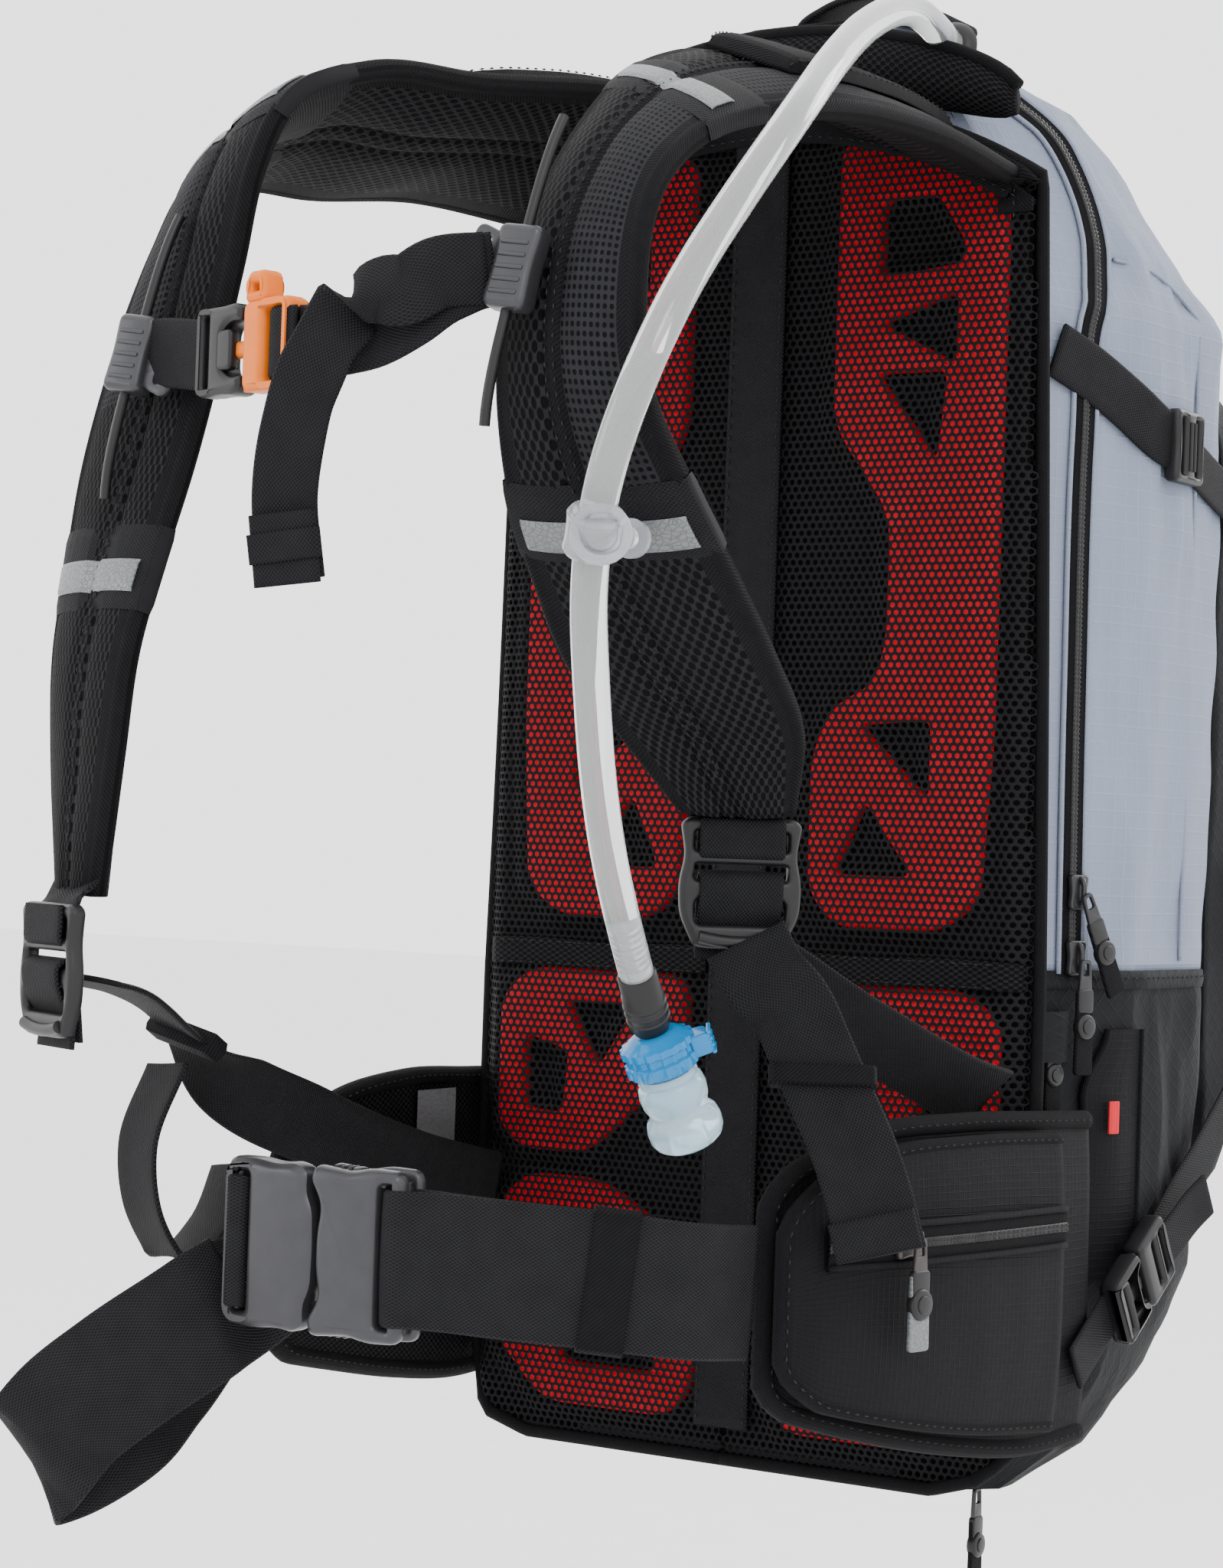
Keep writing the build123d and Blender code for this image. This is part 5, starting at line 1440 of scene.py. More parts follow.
def build_rails():
    shape = Shape()
    for side, centre in RAILS.items():
        line = [centre + RAIL_RUN * lerp(-43, 43, t) + vec(0, 3.4, 0) * (2 * t - 1) ** 4 for t in steps(24)]
        add_rod(shape, line, 1.5, 12)
    shape.piece("chest_rails", "pack", [PLASTIC], "plastic_black", ["sternum_rails"], 50)
    grips = Shape()
    for side, centre in RAILS.items():
        toward = -1 if side == "left" else 1
        place = frame_of(centre, (1, 0, -0.14), tuple(RAIL_RUN))
        body = rounded([(-7, -11.6), (7, -11.6), (6.2, 0), (7, 11.6), (-7, 11.6), (-6.2, 0)], 3)
        add_plate(grips, [body], 8.2, 2.2, place)
        for k in range(5):
            rib = frame_of(centre + RAIL_RUN * (k * 3.4 - 6.8) + vec(0, -4.1, 0), (1, 0, -0.14),
                           tuple(RAIL_RUN))
            add_plate(grips, [box_outline(9, 1.3, radius=0.6)], 1.2, 0.5, rib)
        fan = rounded([(toward * 3, -8), (toward * 15, -12), (toward * 18, 0), (toward * 15, 12),
                       (toward * 3, 8)], 3)
        holes = [circle_outline(1.2, toward * 11, y, 12) for y in (-6.6, -2.2, 2.2, 6.6)]
        add_plate(grips, [fan] + holes, 2.6, 0.8, place)
    grips.piece("chest_slider_grips", "chest", [PLASTIC_GREY], "plastic_black", ["sternum_sliders"], 50)


def chest_frame(along=0.0, out=0.0, up=0.0):
    origin = CHEST + CHEST_RUN * along + CHEST_OUT * out + vec(0, 0, up)
    return frame_of(origin, CHEST_RUN, out=CHEST_OUT)


def build_chest_buckle():
    female = Shape()
    body = rounded([(-22, -12.5), (-9, -12.5), (-4, -13), (-0.4, -11.5), (-0.4, -7.5), (-6, -7.8),
                    (-10, -5.5),
                    (-10, 5.5), (-6, 7.8), (-0.4, 7.5), (-0.4, 11.5), (-4, 13), (-9, 12.5), (-22, 12.5)], 2.4)
    slot = box_outline(3.2, 20.5, -18, 0, 0.8)
    add_plate(female, [body, slot], 8.2, 1.9, chest_frame())
    add_plate(female, [box_outline(7, 11.5, -8.5, 0, 2)], 3.2, 1.0, chest_frame(out=2.4))
    female.piece("chest_buckle_female", "chest", [PLASTIC], "plastic_black", ["sternum_buckle_female"], 50)

    male = Shape()
    body = rounded([(0.4, -12.8), (22, -12.8), (22, 12.8), (0.4, 12.8)], 3.4)
    slot = box_outline(9, 20.5, 14.6, 0, 1.5)
    add_plate(male, [body, slot], 8.4, 2.2, chest_frame())
    add_plate(male, [box_outline(2.6, 20, 14, 0, 1.1)], 4.2, 1.2, chest_frame(out=-0.6))
    whistle = rounded([(0.4, 12), (10.5, 12), (9.4, 21), (1.8, 21)], 2.2)
    add_plate(male, [whistle, box_outline(4, 2.0, 5.4, 16.4, 0.8)], 7.6, 1.8, chest_frame())
    add_plate(male, [box_outline(12, 4.6, -5.2, 0, 1.6)], 3.8, 1.2, chest_frame())
    for sign in (1, -1):
        prong = rounded([(1.2, sign * 8), (1.2, sign * 11.4), (-4, sign * 12.6), (-9.4, sign * 12.4),
                         (-10, sign * 9.6), (-6, sign * 8.8)], 1.6)
        add_plate(male, [prong], 4.0, 1.3, chest_frame())
    male.piece("chest_buckle_male", "chest_male", [PLASTIC_ORANGE], "plastic_orange",
               ["sternum_buckle_male"], 50)


def build_chest_webbing():
    short = stations(UPRIGHT, (-82, -206, 331), (-75.5, -207.5, 331), (-66, -210.5, 330),
                     CHEST + CHEST_RUN * -21, CHEST + CHEST_RUN * -18.5)
    ribbon("chest_webbing_right", short, 20, "chest", 2.8, ["sternum_webbing_right"])
    turns = ((24, 2.2), (19, 3.2), (14, 3.0), (11.4, 0.6), (14, -2.6), (19, -2.6), (24, -1.4))
    wrap = stations(UPRIGHT, *(CHEST + CHEST_RUN * a + CHEST_OUT * b for a, b in turns))
    shape = Shape()
    add_ribbon(shape, wrap, 19.4, 1.5, 0.8)
    shape.piece("chest_webbing_wrap", "chest_male", [WEBBING], "webbing_black")
    long = [(tuple(CHEST + CHEST_RUN * 22), UPRIGHT), ((2, -231.5, 327), UPRIGHT),
            ((12, -232.5, 327.5), UPRIGHT),
            ((22, -232, 329), (0, 0.1, 1)), ((33, -231, 334), (0, 0.12, 1)), ((41, -229, 340), (0, 0.1, 1)),
            ((47.5, -225, 344), UPRIGHT), ((52, -222.5, 345), UPRIGHT)]
    moving = ribbon("chest_webbing_left", long, 20, None, 1.8, ["sternum_webbing_left"])
    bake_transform(moving)
    # the loose layer: folded back at the slider, then hanging with a hemmed end
    fold = [((50, -224, 345), (0, 0, 1)), ((40, -232.5, 343), (0, 0.1, 1)),
            ((32, -236, 338.5), (0.1, 0.12, 1)),
            ((25, -237, 339), (0.35, 0.3, 0.9)), ((19, -238, 337), (0.62, 0.3, 0.72)),
            ((13, -239.5, 330), (0.82, 0.25, 0.5)), ((8, -241, 321), (0.92, 0.2, 0.3)),
            ((3.5, -241, 312), (0.95, 0.2, 0.15)), ((1, -241, 303), (0.96, 0.2, 0.1)),
            ((-3, -239, 285), (0.97, 0.2, 0)),
            ((-1, -237, 262), (0.97, 0.2, -0.1))]
    shape = Shape()
    add_ribbon(shape, fold, 19.6, 1.7, 1.6, cup=0.5)
    end = [((-2.6, -238.8, 280), (0.97, 0.2, -0.04)), ((-1, -237.2, 260.6), (0.97, 0.2, -0.1))]
    add_ribbon(shape, [((a[0][0], a[0][1] - 1.7, a[0][2]), a[1]) for a in end], 19.8, 2.0, 1.5)
    keeper = [((-2.2, -240.2, 275), (0.97, 0.2, -0.05)), ((-1.4, -239.4, 267), (0.97, 0.2, -0.08))]
    add_ribbon(shape, keeper, 21.6, 3.4, 1.0)
    shape.piece("chest_webbing_tail", "chest", [WEBBING], "webbing_black", ["sternum_tail"])


# ---------------------------------------------------------------- ladder locks and their webbing
LOCKS = {
    "left": (vec(66, -109, 184), vec(0.75, 0.66, 0)),
    "right": (vec(-88, -230, 153), vec(0.91, -0.41, 0)),
}
SHOULDER_WEB = 25.0


def build_ladder_lock(side):
    centre, across = LOCKS[side]
    across = across.normalized()
    outward = across.cross(vec(0, 0, 1)).normalized()
    place = frame_of(centre, across, out=outward)
    shape = Shape()
    body = rounded([(-15.5, 19), (-17.8, 17), (-16.2, 8), (-18, 0), (-17.6, -9), (-13, -18.6), (-9, -19),
                    (9, -19),
                    (13, -18.6), (17.6, -9), (18, 0), (16.2, 8), (17.8, 17), (15.5, 19)], 3.2)
    slots = [box_outline(27.4, 5.6, 0, 12.2, 1.2), box_outline(27.4, 4.6, 0, 3.2, 1.2),
             box_outline(26.6, 7.4, 0, -8.4, 2.2)]
    add_plate(shape, [body] + slots, 5.0, 1.7, place)
    for at, fat in ((7.6, 2.0), (-1.6, 2.2)):
        line = [place @ Vector((x, at, 0.6 * bell((x + 14) / 28))) for x in range(-14, 15, 2)]
        add_rod(shape, line, fat, 12)
    lip = [place @ Vector((x, -15.6 - 1.4 * bell((x + 12) / 24), 2.4)) for x in range(-12, 13, 2)]
    add_rod(shape, lip, 1.9, 12)
    shape.piece(f"lock_frame_{side}", "pack", [PLASTIC], "plastic_black", [f"ladder_lock_{side}"], 50)
    return place


def lock_webbing(shape, place, top_points):
    """The sewn loop round the top bar, and the adjusting webbing round the middle bar."""
    across = tuple(place.to_3x3() @ Vector((1, 0, 0)))
    loop = [(tuple(p), across) for p in top_points]
    for y, z in ((16.5, -1.8), (12.6, -2.6), (8.6, -2.6), (7.0, 0.0), (8.6, 3.0), (12.6, 3.0), (18.6, 3.0)):
        loop.append((tuple(place @ Vector((0, y, z))), across))
    add_ribbon(shape, loop, SHOULDER_WEB, 1.6, 1.0)
    turn = [(tuple(place @ Vector((0, y, z))), across)
            for y, z in ((-20, -4.6), (-12, -3.8), (-5, -3.0), (0.5, -2.6), (3.0, 0.2), (1.2, 3.2),
                         (-3, 3.3), (-8, 1.6),
                         (-11.6, -0.8), (-17, -2.2), (-22, -2.0))]
    add_ribbon(shape, turn, SHOULDER_WEB - 0.6, 1.5, 1.0)


LEFT_ACROSS, RIGHT_ACROSS = (0.8, 0.6, 0), (0.75, -0.6, 0.1)
LEFT_ANCHOR = [((68, -104, 163), LEFT_ACROSS), ((80, -72, 146), LEFT_ACROSS),
               ((92, -34, 128), (0.7, 0.7, 0.1)),
               ((97, -8, 119), (0.5, 0.8, 0.2))]
LEFT_TAIL = stations(LEFT_ACROSS, (70, -111.5, 168), (76, -109, 157), (82, -106, 150), (89, -105.5, 138),
                     (97, -107, 125), (105, -109, 113), (113, -111.5, 98), (119, -113, 82))
RIGHT_ANCHOR = [((-88, -216, 150), RIGHT_ACROSS), ((-91, -190, 144), RIGHT_ACROSS),
                ((-92, -165, 132), (0.8, -0.55, 0.1)),
                ((-91, -144, 117), (0.6, -0.1, 0.7)), ((-89, -104, 102), (0.1, 0.1, 1)),
                ((-88, -52, 86), (0.05, 0.3, 1)),
                ((-88, -4, 76), (0, 0.3, 1))]
RIGHT_TAIL = stations((0.9, -0.4, 0), (-93, -172, 124), (-95, -182, 100), (-94, -178, 78), (-93, -166, 66),
                      (-92, -150, 76), (-91, -142, 92))


def build_strap_webbing():
    left, right = build_ladder_lock("left"), build_ladder_lock("right")
    shape = Shape()
    lock_webbing(shape, left, [vec(66, -114, 214), vec(66, -111, 206)])
    add_ribbon(shape, LEFT_ANCHOR, SHOULDER_WEB, 1.7, cup=0.6)
    add_ribbon(shape, LEFT_TAIL, SHOULDER_WEB, 1.8, cup=0.8)
    hem = [((x, y - 1.6, z), a) for (x, y, z), a in LEFT_TAIL[-2:]]
    add_ribbon(shape, [(tuple(lerp(vec(*hem[0][0]), vec(*hem[1][0]), 0.35)), hem[0][1]), hem[1]],
               SHOULDER_WEB, 1.8)
    shape.piece("strap_webbing_left_weave", "pack", [WEBBING], "webbing_black", ["strap_webbing_left"])
    shape = Shape()
    lock_webbing(shape, right, [vec(-90, -217, 182), vec(-89, -222, 176)])
    add_ribbon(shape, RIGHT_ANCHOR, SHOULDER_WEB, 1.7, cup=0.6)
    add_ribbon(shape, RIGHT_TAIL, SHOULDER_WEB, 1.7, cup=0.6)
    shape.piece("strap_webbing_right_weave", "pack", [WEBBING], "webbing_black", ["strap_webbing_right"])
    # elastic keepers
    shape = Shape()
    for centre, across, along, wide, thick, tall in (
        ((94, -106.2, 130), (0.8, 0.6, 0), (0.27, -0.37, -0.89), 28, 5.0, 6),
        ((-92, -165, 132), (0.8, -0.55, 0.1), (0.03, 0.82, -0.5), 27, 6.6, 6),
    ):
        along = vec(*along).normalized()
        ends = [(tuple(vec(*centre) + along * t), across) for t in (-tall / 2, tall / 2)]
        add_ribbon(shape, ends, wide + 3, thick, 1.0, edge=1.2)
    belt = stations(UPRIGHT, (68, -163.2, 73.2), (58, -171.2, 74.6))
    add_ribbon(shape, belt, 40.5, 6.2, 1.0, edge=1.4)
    shape.piece("webbing_keeper_bands", "pack", [TWILL], "webbing_black", ["webbing_keepers"])


# ---------------------------------------------------------------- hip belt
def band_edges(*walls):
    """Low and high edge points of an upright band, from (x, y, lowest, highest)."""
    return [((x, y, low), (x, y, high)) for x, y, low, high in walls]


WING_LEFT = band_edges((110.5, 34, 14, 112), (108.5, 5, 13, 113), (103, -40, 18, 114), (94, -84, 27, 111),
                       (83, -116, 36, 98))
WING_RIGHT = band_edges((-110.5, 34, 14, 112), (-108.5, 5, 13, 113), (-103, -40, 18, 114),
                        (-99, -84, 26, 108),
                        (-96, -114, 32, 96))
WING_POCKET = band_edges((115.3, 5, 20, 108), (109.8, -41, 24, 109), (100.6, -87, 32, 106),
                         (90.5, -119.5, 40, 95))


def padded_band(name, edges, thick, materials, slot, node, sign, round_end):
    """A padded band between low and high edges, crowned, with a rounded front end."""
    dense = spline([((vec(*a) + vec(*b)) / 2, vec(*a), vec(*b)) for a, b in edges], 3.0)
    runs = tangents([m for m, _, _ in dense])
    marks = lengths([m for m, _, _ in dense])
    shape = Shape()
    shares = [0.0, 0.02, 0.06, 0.12, 0.2, 0.3, 0.4, 0.5, 0.6, 0.7, 0.8, 0.88, 0.94, 0.98, 1.0]
    rings, edges_low, edges_high = [], [], []
    for (mid, low, high), along, mark in zip(dense, runs, marks):
        up = (high - low).normalized()
        out = (along.cross(up) * -sign).normalized()
        if out.x * sign < 0:
            out = -out
        left = marks[-1] - mark
        pinch = round_end * (1 - sqrt(clamp(left / round_end)))
        low, high = low + up * pinch * 0.6, high - up * pinch * 0.6
        ring = []
        for face in (1, -1):
            for u in (shares if face > 0 else shares[::-1]):
                point = lerp(low, high, u)
                crown = thick / 2 * (0.45 + 0.55 * (1 - abs(2 * u - 1) ** 3)) * (0.7 + 0.3 * smooth(left / 12))
                fold = 0.7 * noise.noise(vec(point.y * 0.05, point.z * 0.025, face * 5.0))
                ring.append(point + out * face * (crown + fold * bell(u)))
        rings.append(ring)
        edges_low.append(low)
        edges_high.append(high)
    tall = 90.0
    us = [u * tall for u in shares] + [u * tall for u in shares[::-1]]
    count = len(shares)
    shape.skin(rings, us, marks, mat=lambda i, j: 0 if j < count else 1)
    shape.piece(name, "pack", materials, slot, [node])
    return edges_low + [lerp(edges_low[-1], edges_high[-1], t) for t in steps(12)[1:-1]] + edges_high[::-1]


def build_wings():
    for side, sign, edges in (("left", 1, WING_LEFT), ("right", -1, WING_RIGHT)):
        outline = padded_band(f"wing_pad_{side}", edges, 6.4, [WING_CLOTH, DENSE_MESH], "mesh_black",
                              f"hip_wing_{side}", sign, 10)
        roll = Shape()
        add_rod(roll, outline, 3.2, 14)
        roll.piece(f"wing_binding_{side}", "pack", [TWILL], "fabric_black")
        stitch([p + vec(-sign * 3.4, 0, 0.3) for p in outline], vec(-sign, 0, 0))
        stitch([p + vec(sign * 3.2, 0, 0.3) for p in outline], vec(sign, 0, 0))
    # a dotted bright patch inside the right wing, by the panel
    patch = Shape()
    rows = []
    for t in steps(12):
        y = lerp(-36, -12, t)
        x = -102.6 - 3.0 * (y + 40) / 45 + 3.6
        rows.append([vec(x, y, z) for z in range(62, 112, 4)])
    patch.skin(rows, [k * 4 for k in range(len(rows[0]))], [k * 2.0 for k in range(len(rows))], loop=False)
    patch.piece("wing_patch_bright", "pack", [REFLECTIVE], "fabric_black")

    # the zipped pocket on the left wing
    outline = padded_band("wing_pocket_cloth", WING_POCKET, 7.2, [WING_CLOTH, WING_CLOTH], "fabric_black",
                          "wing_pocket", 1, 16)
    roll = Shape()
    add_rod(roll, outline, 2.2, 12)
    roll.piece("wing_pocket_binding", "pack", [TWILL], "fabric_black")
    stitch([p + vec(2.6, -0.4, 0) for p in outline], vec(0.98, -0.2, 0))
    route = [(119.7, 3), (114.4, -41), (105.4, -86), (98.6, -108)]
    path = [p[0] for p in spline([(vec(x, y, 81.5),) for x, y in route], 4)]
    normals = []
    for along in tangents(path):
        out = along.cross(vec(0, 0, 1))
        normals.append((out if out.x > 0 else -out).normalized())
    coil_zip("wing_zip", path, normals, "pack", 10.0, 3.2)
    lips = Shape()
    for edge in (5.6, -5.6):
        add_rod(lips, [p + vec(0, 0, edge) + n * 0.2 for p, n in zip(path, normals)], 1.1)
    lips.piece("wing_zip_lips", "pack", [WING_CLOTH], "fabric_black")


BUCKLE = vec(-21, -188, 77)
BELT_WEB = 38.0
BELT_LEFT = stations(UPRIGHT, (83.5, -124.5, 69), (78, -148, 71), (63, -168, 74), (36, -183, 76))
BELT_RIGHT = [
    ((-54, -176, 64), (-0.1, 0, 1)), ((-60, -190, 54), (-0.36, -0.23, 0.9)),
    ((-78, -206, 37), (-0.43, -0.28, 0.86)),
    ((-92, -214, 23), (-0.44, -0.28, 0.85)), ((-98, -216, 14.5), (-0.47, -0.3, 0.83)),
    ((-104, -211, 9), (-0.47, -0.3, 0.83)),
    ((-102, -204, 10), (-0.47, -0.3, 0.83)), ((-94, -190, 18), (-0.55, -0.35, 0.75)),
    ((-97, -165, 31), (-0.5, -0.3, 0.8)),
    ((-98, -142, 46), (-0.25, -0.15, 0.95)), ((-96, -117.5, 60), UPRIGHT),
]


def buckle_frame(out=0.0):
    return frame_of(tuple(BUCKLE + vec(0, -out, 0)), (1, 0, 0), (0, 0, 1))


def dished(deep, reach):
    """Bends a buckle plate round the wearer a little and rounds its face."""

    def bend(p):
        return Vector((p.x, p.y,
                       p.z - deep * (p.x / reach) ** 2 + (0.9 if p.z > 0 else 0) * (1 - (p.y / 25) ** 2)))

    return bend


def build_hip_buckle():
    female = Shape()
    body = rounded([(0, -20), (1.5, -24.2), (14, -23), (20, -24.4), (31, -24), (31.6, 0), (31, 24),
                    (20, 24.4), (14, 23),
                    (1.5, 24.2), (0, 20), (4.5, 13), (3.2, 5), (3.2, -5), (4.5, -13)], 3.4)
    add_plate(female, [body, box_outline(5, 40, 26, 0, 1.6)], 6.0, 2.4, buckle_frame(3.6),
              bend=dished(1.6, 32))
    add_plate(female, [body, box_outline(5, 40, 26, 0, 1.6)], 3.4, 1.2, buckle_frame(-4.6),
              bend=dished(1.6, 32))
    for sign in (1, -1):
        wall = rounded([(12, sign * 17), (20, sign * 17), (20, sign * 23.6), (12, sign * 22.6)], 2)
        add_plate(female, [wall], 9, 1.0, buckle_frame(0))
    rod = [BUCKLE + vec(28.6, 0, z) for z in range(-21, 22, 3)]
    add_rod(female, rod, 2.5, 14)
    female.piece("hip_buckle_female", "pack", [PLASTIC_GREY], "plastic_grey", ["belt_buckle_female"], 50)

    male = Shape()
    body = rounded([(-32, -24), (-20, -24.4), (-13, -23.4), (-6, -24.2), (-1.4, -22), (-1.6, -16),
                    (1.0, -11), (1.6, 0),
                    (1.0, 11), (-1.6, 16), (-1.4, 22), (-6, 24.2), (-13, 23.4), (-20, 24.4), (-32, 24)], 3.6)
    add_plate(male, [body, box_outline(5, 40, -26, 0, 1.6)], 8.6, 3.0, buckle_frame(1.6),
              bend=dished(2.0, 32))
    add_plate(male, [box_outline(19, 10.4, 8, 0, 3)], 5.6, 1.6, buckle_frame(-1.2))
    rod = [BUCKLE + vec(-29.6, 0, z) for z in range(-21, 22, 3)]
    add_rod(male, rod, 2.5, 14)
    male.piece("hip_buckle_male", "belt_right", [PLASTIC_GREY], "plastic_grey", ["belt_buckle_male"], 50)
    for name, sign in (("upper", 1), ("lower", -1)):
        prong = rounded([(-1, sign * 14), (-1, sign * 20.4), (4.5, sign * 22.4), (10, sign * 23.8),
                         (15.4, sign * 24.2),
                         (15.4, sign * 18), (9, sign * 16.5)], 2.6)
        shape = Shape()
        add_plate(shape, [prong], 5.6, 1.8, buckle_frame(-0.6))
        for k in range(3):
            rib = [BUCKLE + vec(6 + k * 2.6, y, sign * 23.6) for y in (-2.2, -1, 1, 2.2)]
            add_rod(shape, rib, 0.6, 8)
        shape.piece(f"hip_prong_{name}", f"prong_{name}", [PLASTIC_GREY], "plastic_grey",
                    [f"belt_prong_{name}"], 50)


def build_belt_webbing():
    # round the female half's rod and back behind itself
    run = BELT_LEFT + stations(UPRIGHT, (20, -188.6, 76.8), (13.5, -191.8, 77), (8.4, -194.2, 77),
                               (5.2, -192.4, 77),
                               (4.6, -189, 77), (7, -185.2, 77), (14, -184.6, 77), (26, -183.8, 76.6),
                               (48, -175, 75.2), (62, -165.2, 74))
    ribbon("belt_webbing_fixed", run, BELT_WEB, "pack", 2.1, ["belt_webbing_left"], WIDE_WEBBING, step=1.6,
           cup=0.4)
    wrap = stations(UPRIGHT, (-54, -184, 77), (-51, -188.5, 77), (-49.8, -193.4, 77), (-46.6, -192.4, 77),
                    (-46.6, -186, 76))
    wrap += [((-48, -181.6, 74), (-0.03, 0, 1)), ((-51, -178.6, 69), (-0.06, 0, 1))]
    shape = Shape()
    add_ribbon(shape, wrap, BELT_WEB - 0.5, 1.7, 0.9)
    shape.piece("belt_webbing_wrap", "belt_right", [WIDE_WEBBING], "webbing_black")
    slack = [((-50.5, -178.8, 70), (-0.06, 0, 1))] + BELT_RIGHT
    loose = ribbon("belt_webbing_slack", slack, BELT_WEB, None, 1.8, ["belt_webbing_right"], WIDE_WEBBING,
                   step=1.6)
    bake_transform(loose)


# ---------------------------------------------------------------- zip sliders and pullers
def add_slider(shape, place, size=1.0):
    """A zip slider lying in its plane: x across the zip, y up along it."""
    body = rounded([(-4.2, -5.6), (4.2, -5.6), (3.4, 0), (4.4, 5.6), (-4.4, 5.6), (-3.4, 0)], 2.0)
    add_plate(shape, [[(x * size, y * size) for x, y in body]], 2.4 * size, 0.9, place, lift=1.4)
    bridge = [place @ Vector((0, y * size, h * size)) for y, h in
              ((-4, 2.2), (-3.4, 3.6), (-1, 4.1), (2, 4.1), (3.8, 3.4), (4.4, 2.2))]
    add_rod(shape, bridge, 0.95 * size, 10)


LINK, TAB, TAIL = 0, 1, 2


def add_puller(shape, place, long, wide, turn):
    """A puller hanging down from the place: metal link, moulded tab, round button and a longer tail."""
    c, s = cos(turn), sin(turn)

    def swing(points):
        return [(x * c - y * s, x * s + y * c) for x, y in points]

    link_outline = swing(rounded([(-2.2, 1.6), (2.2, 1.6), (3.0, -9), (-3.0, -9)], 1.4))
    link_hole = swing(rounded([(-1.1, 0.4), (1.1, 0.4), (1.5, -3.4), (-1.5, -3.4)], 0.6))
    add_plate(shape, [link_outline, link_hole], 1.5, 0.5, place, mat=LINK)
    bar = swing(box_outline(wide * 0.86, 8, 0, -11.5, 1.6))
    add_plate(shape, [bar], 2.3, 0.8, place, mat=TAB)
    centre = swing([(0, -long * 0.56)])[0]
    add_plate(shape, [circle_outline(wide * 0.52, *centre)], 3.4, 1.1, place, lift=0.3, mat=TAB)
    add_plate(shape, [circle_outline(wide * 0.3, *centre)], 1.0, 0.4, place, lift=2.0, mat=TAB)
    tail = swing(rounded([(-wide / 2.3, -8), (wide / 2.3, -8), (wide / 2, -long), (-wide / 2, -long)], 1.6))
    add_plate(shape, [tail], 1.7, 0.6, place, mat=TAIL)


def slider_piece(name, body, node_name, place, size=1.0, metal=ZIP_METAL):
    shape = Shape()
    add_slider(shape, place, size)
    shape.piece(name, body, [metal], "zip_metal", [node_name], 50)


def puller_piece(name, body, node_name, place, long, wide, turn=0.0,
                 cloths=(ZIP_METAL, PLASTIC, TWILL_PLACED)):
    shape = Shape()
    add_puller(shape, place, long, wide, turn)
    shape.piece(name, body, cloths, "fabric_black", [node_name], 50)


def build_zip_hardware():
    def beside(along, out, height):
        return frame_of(slant(along, out, height), (0.296, 0.955, 0), out=(0.955, -0.296, 0))

    def facing_left(point):
        return frame_of(point, (0, 1, 0), out=(1, 0, 0))

    for name, z, turn, long in (("upper", 184, 0.46, 34), ("lower", 163, 0.0, 35)):
        slider_piece(f"side_slider_{name}", f"main_slider_{name}", f"main_zip_slider_{name}",
                     beside(25, 1.6, z))
        puller_piece(f"side_pull_{name}", f"main_puller_{name}", f"main_zip_puller_{name}",
                     beside(25, 7.3, z - 2.0), long, 8.0, turn)
    puller_piece("pocket_pull", "side_puller", "side_zip_puller", beside(16, 2.9, 140.5), 26, 7.4)
    puller_piece("base_pull", "base_puller", "base_zip_puller", facing_left((74, 40, -11)), 30, 8)
    slider_piece("front_slider_metal", "front_slider", "front_zip_slider", facing_left((107.2, 166, 190)),
                 0.9)
    puller_piece("front_pull", "front_puller", "front_zip_puller", facing_left((112.5, 166, 189.5)), 30, 7.6)
    wing_run = vec(9, 45, 0).normalized()
    wing_out = vec(45, -9, 0).normalized()
    at = vec(105.4, -86, 81.5) + wing_run * 8 + wing_out * 0.9
    slider_piece("wing_slider_metal", "wing_slider", "wing_zip_slider", frame_of(at, UPRIGHT, out=wing_out),
                 metal=ZIP_BRONZE)
    hang = frame_of(at + wing_out * 5.4 + vec(0, 0, 0.5), wing_run, out=wing_out)
    puller_piece("wing_pull", "wing_puller", "wing_zip_puller", hang, 31, 9,
                 cloths=(ZIP_BRONZE, PLASTIC, REFLECTIVE))


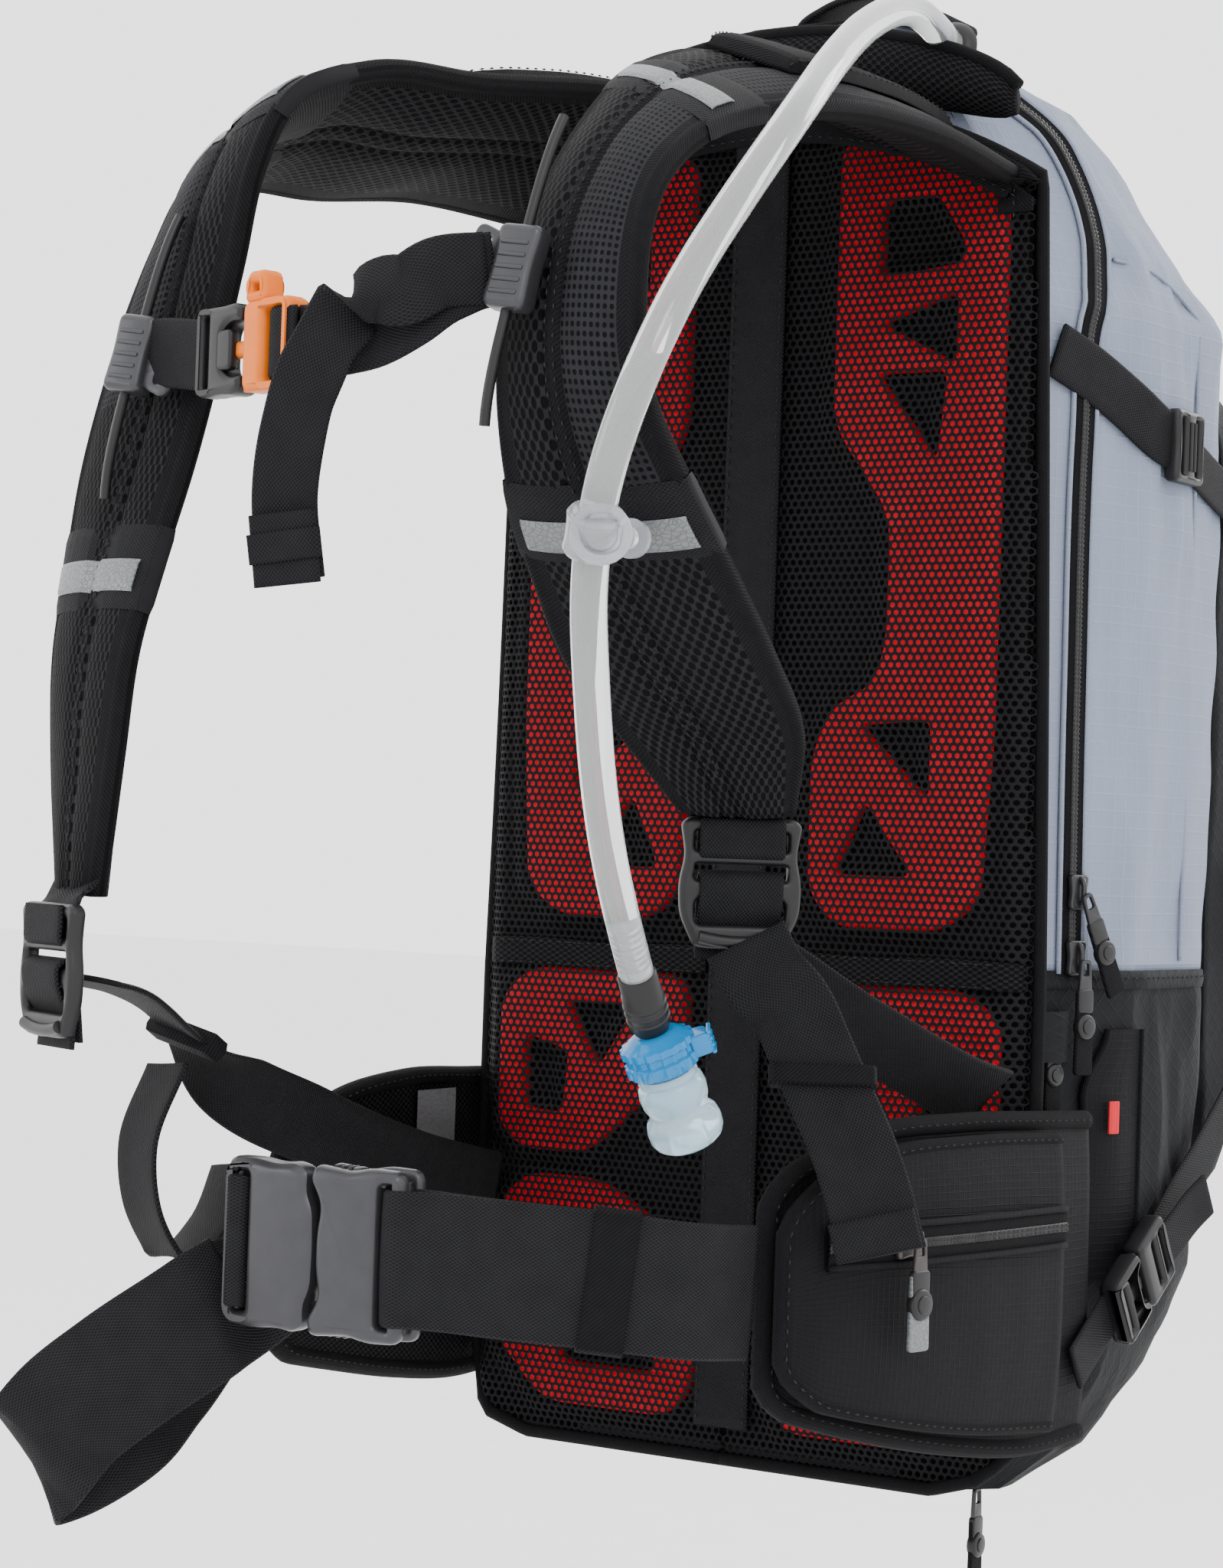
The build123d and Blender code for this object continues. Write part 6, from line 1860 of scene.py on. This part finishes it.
# ---------------------------------------------------------------- compression straps
def build_compression():
    """Upper straps with locks, and lower straps with small side-release buckles, on both sides."""
    fixed = Shape()
    for sign in (1, -1):
        places = ((8, 355.5), (24, 350), (42, 342), (60, 333))
        back = stations((0.1 * sign, 0.1, 1), *(slant(along, 2.3, z, sign) for along, z in places))
        add_ribbon(fixed, back + stations(UPRIGHT, (sign * 115.0, 82, 331)), 18, 1.6)
        front = ((114.4, 86, 330), (113.6, 98, 327), (113.2, 118, 321), (112.6, 138, 316), (108.5, 158, 311))
        add_ribbon(fixed, stations(UPRIGHT, *((sign * x, y, z) for x, y, z in front)), 16, 1.6)
        run, up = vec(0, 0.841, 0.541), vec(0, -0.541, 0.841)
        at = vec(sign * 115, 62, 60)
        add_ribbon(fixed, stations(tuple(up), *(at + run * d for d in (-46, -36, -26, -17))), 16, 1.6)
        bends = ((17, 1.5), (24, 1.0), (44, 0), (60, 0), (84, -1), (104, -2))
        loop = stations(tuple(up), *(at + run * d + vec(sign * h, 0, 0) for d, h in bends))
        moving = Shape()
        add_ribbon(moving, loop, 16, 1.6)
        side = "left" if sign > 0 else "right"
        piece = moving.piece(f"compression_lower_{side}", None, [WEBBING], "webbing_black")
        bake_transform(piece)
        tail = Shape()
        bends = ((16, 5.5), (26, 6.4), (38, 7.5), (47, 9.5))
        add_ribbon(tail, stations(tuple(up), *(at + run * d + vec(sign * h, 0, 0) for d, h in bends)), 16,
                   1.6)
        tail.piece(f"compression_tail_{side}", f"lower_male_{side}", [WEBBING], "webbing_black")
    fixed.piece("compression_webbing_fixed", "pack", [WEBBING], "webbing_black", ["compression_webbings"])
    locks = Shape()
    females = Shape()
    for sign in (1, -1):
        place = frame_of((sign * 115.4, 84, 331), (0, sign, 0), out=(sign, 0, 0))
        outline = rounded([(-11, -12), (11, -12), (10, 0), (11, 12), (-11, 12), (-10, 0)], 2.8)
        add_plate(locks, [outline, box_outline(4, 18.5, -5.5, 0, 1), box_outline(4, 18.5, 5.5, 0, 1)], 5.6,
                  1.7, place)
        for x in (-1.4, 1.4):
            add_rod(locks, [place @ Vector((x, y, 2.9)) for y in range(-8, 9, 2)], 0.8, 8)
        run = vec(0, 0.841, 0.541)
        flat = frame_of((sign * 118, 62, 60), tuple(run), out=(sign, 0, 0))
        body = rounded([(-19, -12), (-6, -12), (-1, -11.6), (-0.3, -8), (-4.5, -6), (-4.5, 6), (-0.3, 8),
                        (-1, 11.6), (-6, 12), (-19, 12)], 2.2)
        add_plate(females, [body, box_outline(3, 17, -15.6, 0, 0.8)], 7.6, 1.9, flat)
        male = Shape()
        body = rounded([(0.4, -12), (20, -12), (19, 0), (20, 12), (0.4, 12)], 2.6)
        add_plate(male, [body, box_outline(3, 17, 15.6, 0, 0.8), box_outline(3, 17, 9.6, 0, 0.8)], 7.6, 1.9,
                  flat)
        add_plate(male, [box_outline(9, 5.4, -4.6, 0, 1.4)], 3.4, 1.0, flat)
        for y in (-9, 9):
            add_plate(male, [box_outline(9.4, 3.8, -4.0, y, 1.2)], 3.4, 1.0, flat)
        side = "left" if sign > 0 else "right"
        male.piece(f"lower_male_{side}_plastic", f"lower_male_{side}", [PLASTIC], "plastic_black",
                   [f"lower_buckle_male_{side}"], 50)
    locks.piece("compression_lock_plastic", "pack", [PLASTIC], "plastic_black", ["compression_locks"], 50)
    females.piece("lower_female_plastic", "pack", [PLASTIC], "plastic_black", ["lower_buckle_female"], 50)


def build_stitches():
    make("stitching_pack", *STITCHES, "pack", THREAD, "fabric_black")


def dress_hidden_parts():
    """Gives the solids that stay inside the bag their materials."""
    for name, material in (("back_board", BOARD), ("frame_sheet", BOARD), ("reservoir", FILM)):
        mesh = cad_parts[name].data
        mesh.materials.clear()
        mesh.materials.append(material)


def build_stage():
    """A pale floor, an even pale surround and three soft lamps, all in metres."""
    size, low = 12.0, -0.34
    floor = bpy.data.meshes.new("floor")
    corners = [(x * size, y * size, low) for x, y in ((-1, -1), (1, -1), (1, 1), (-1, 1))]
    floor.from_pydata(corners, [], [(0, 1, 2, 3)])
    paper = new_material("floor_paper", (0.88, 0.88, 0.88), 0.9)
    place = place_in_mm(paper, False)
    link(paper, tint(paper, noise_of(paper, place, 40.0), (0.86, 0.86, 0.86), (0.9, 0.9, 0.9)), "Base Color")
    floor.materials.append(paper)
    obj = bpy.data.objects.new("floor", floor)
    bpy.context.scene.collection.objects.link(obj)
    world = bpy.data.worlds.new("studio")
    world.use_nodes = True
    world.node_tree.nodes["Background"].inputs[0].default_value = (1, 1, 1, 1)
    world.node_tree.nodes["Background"].inputs[1].default_value = 2.5
    bpy.context.scene.world = world
    area_light("key", (1.5, -1.6, 1.6), (0, 0, 0.22), 0.8, 15)
    area_light("fill", (-1.6, -1.3, 0.7), (0, -0.1, 0.2), 0.8, 6)
    area_light("rim", (0.6, 1.6, 1.3), (0, 0, 0.25), 0.8, 14)


set_camera()
build_tube()
build_hose_clip()
build_bag()
build_side_zips()
build_front_pocket()
build_side_pockets()
build_haul_loop()
build_pads()
build_net(1)
build_net(-1)
build_panel_edges()
build_yoke()
left_strap = build_strap("left", LEFT_STRAP, -1)
right_strap = build_strap("right", RIGHT_STRAP, 1)
build_covers([left_strap, right_strap])
build_strap_bands(left_strap, "left")
build_strap_bands(right_strap, "right")
build_rails()
build_chest_buckle()
build_chest_webbing()
build_strap_webbing()
build_wings()
build_hip_buckle()
build_belt_webbing()
build_zip_hardware()
build_compression()
build_stitches()
dress_hidden_parts()
build_stage()
bpy.context.view_layer.update()
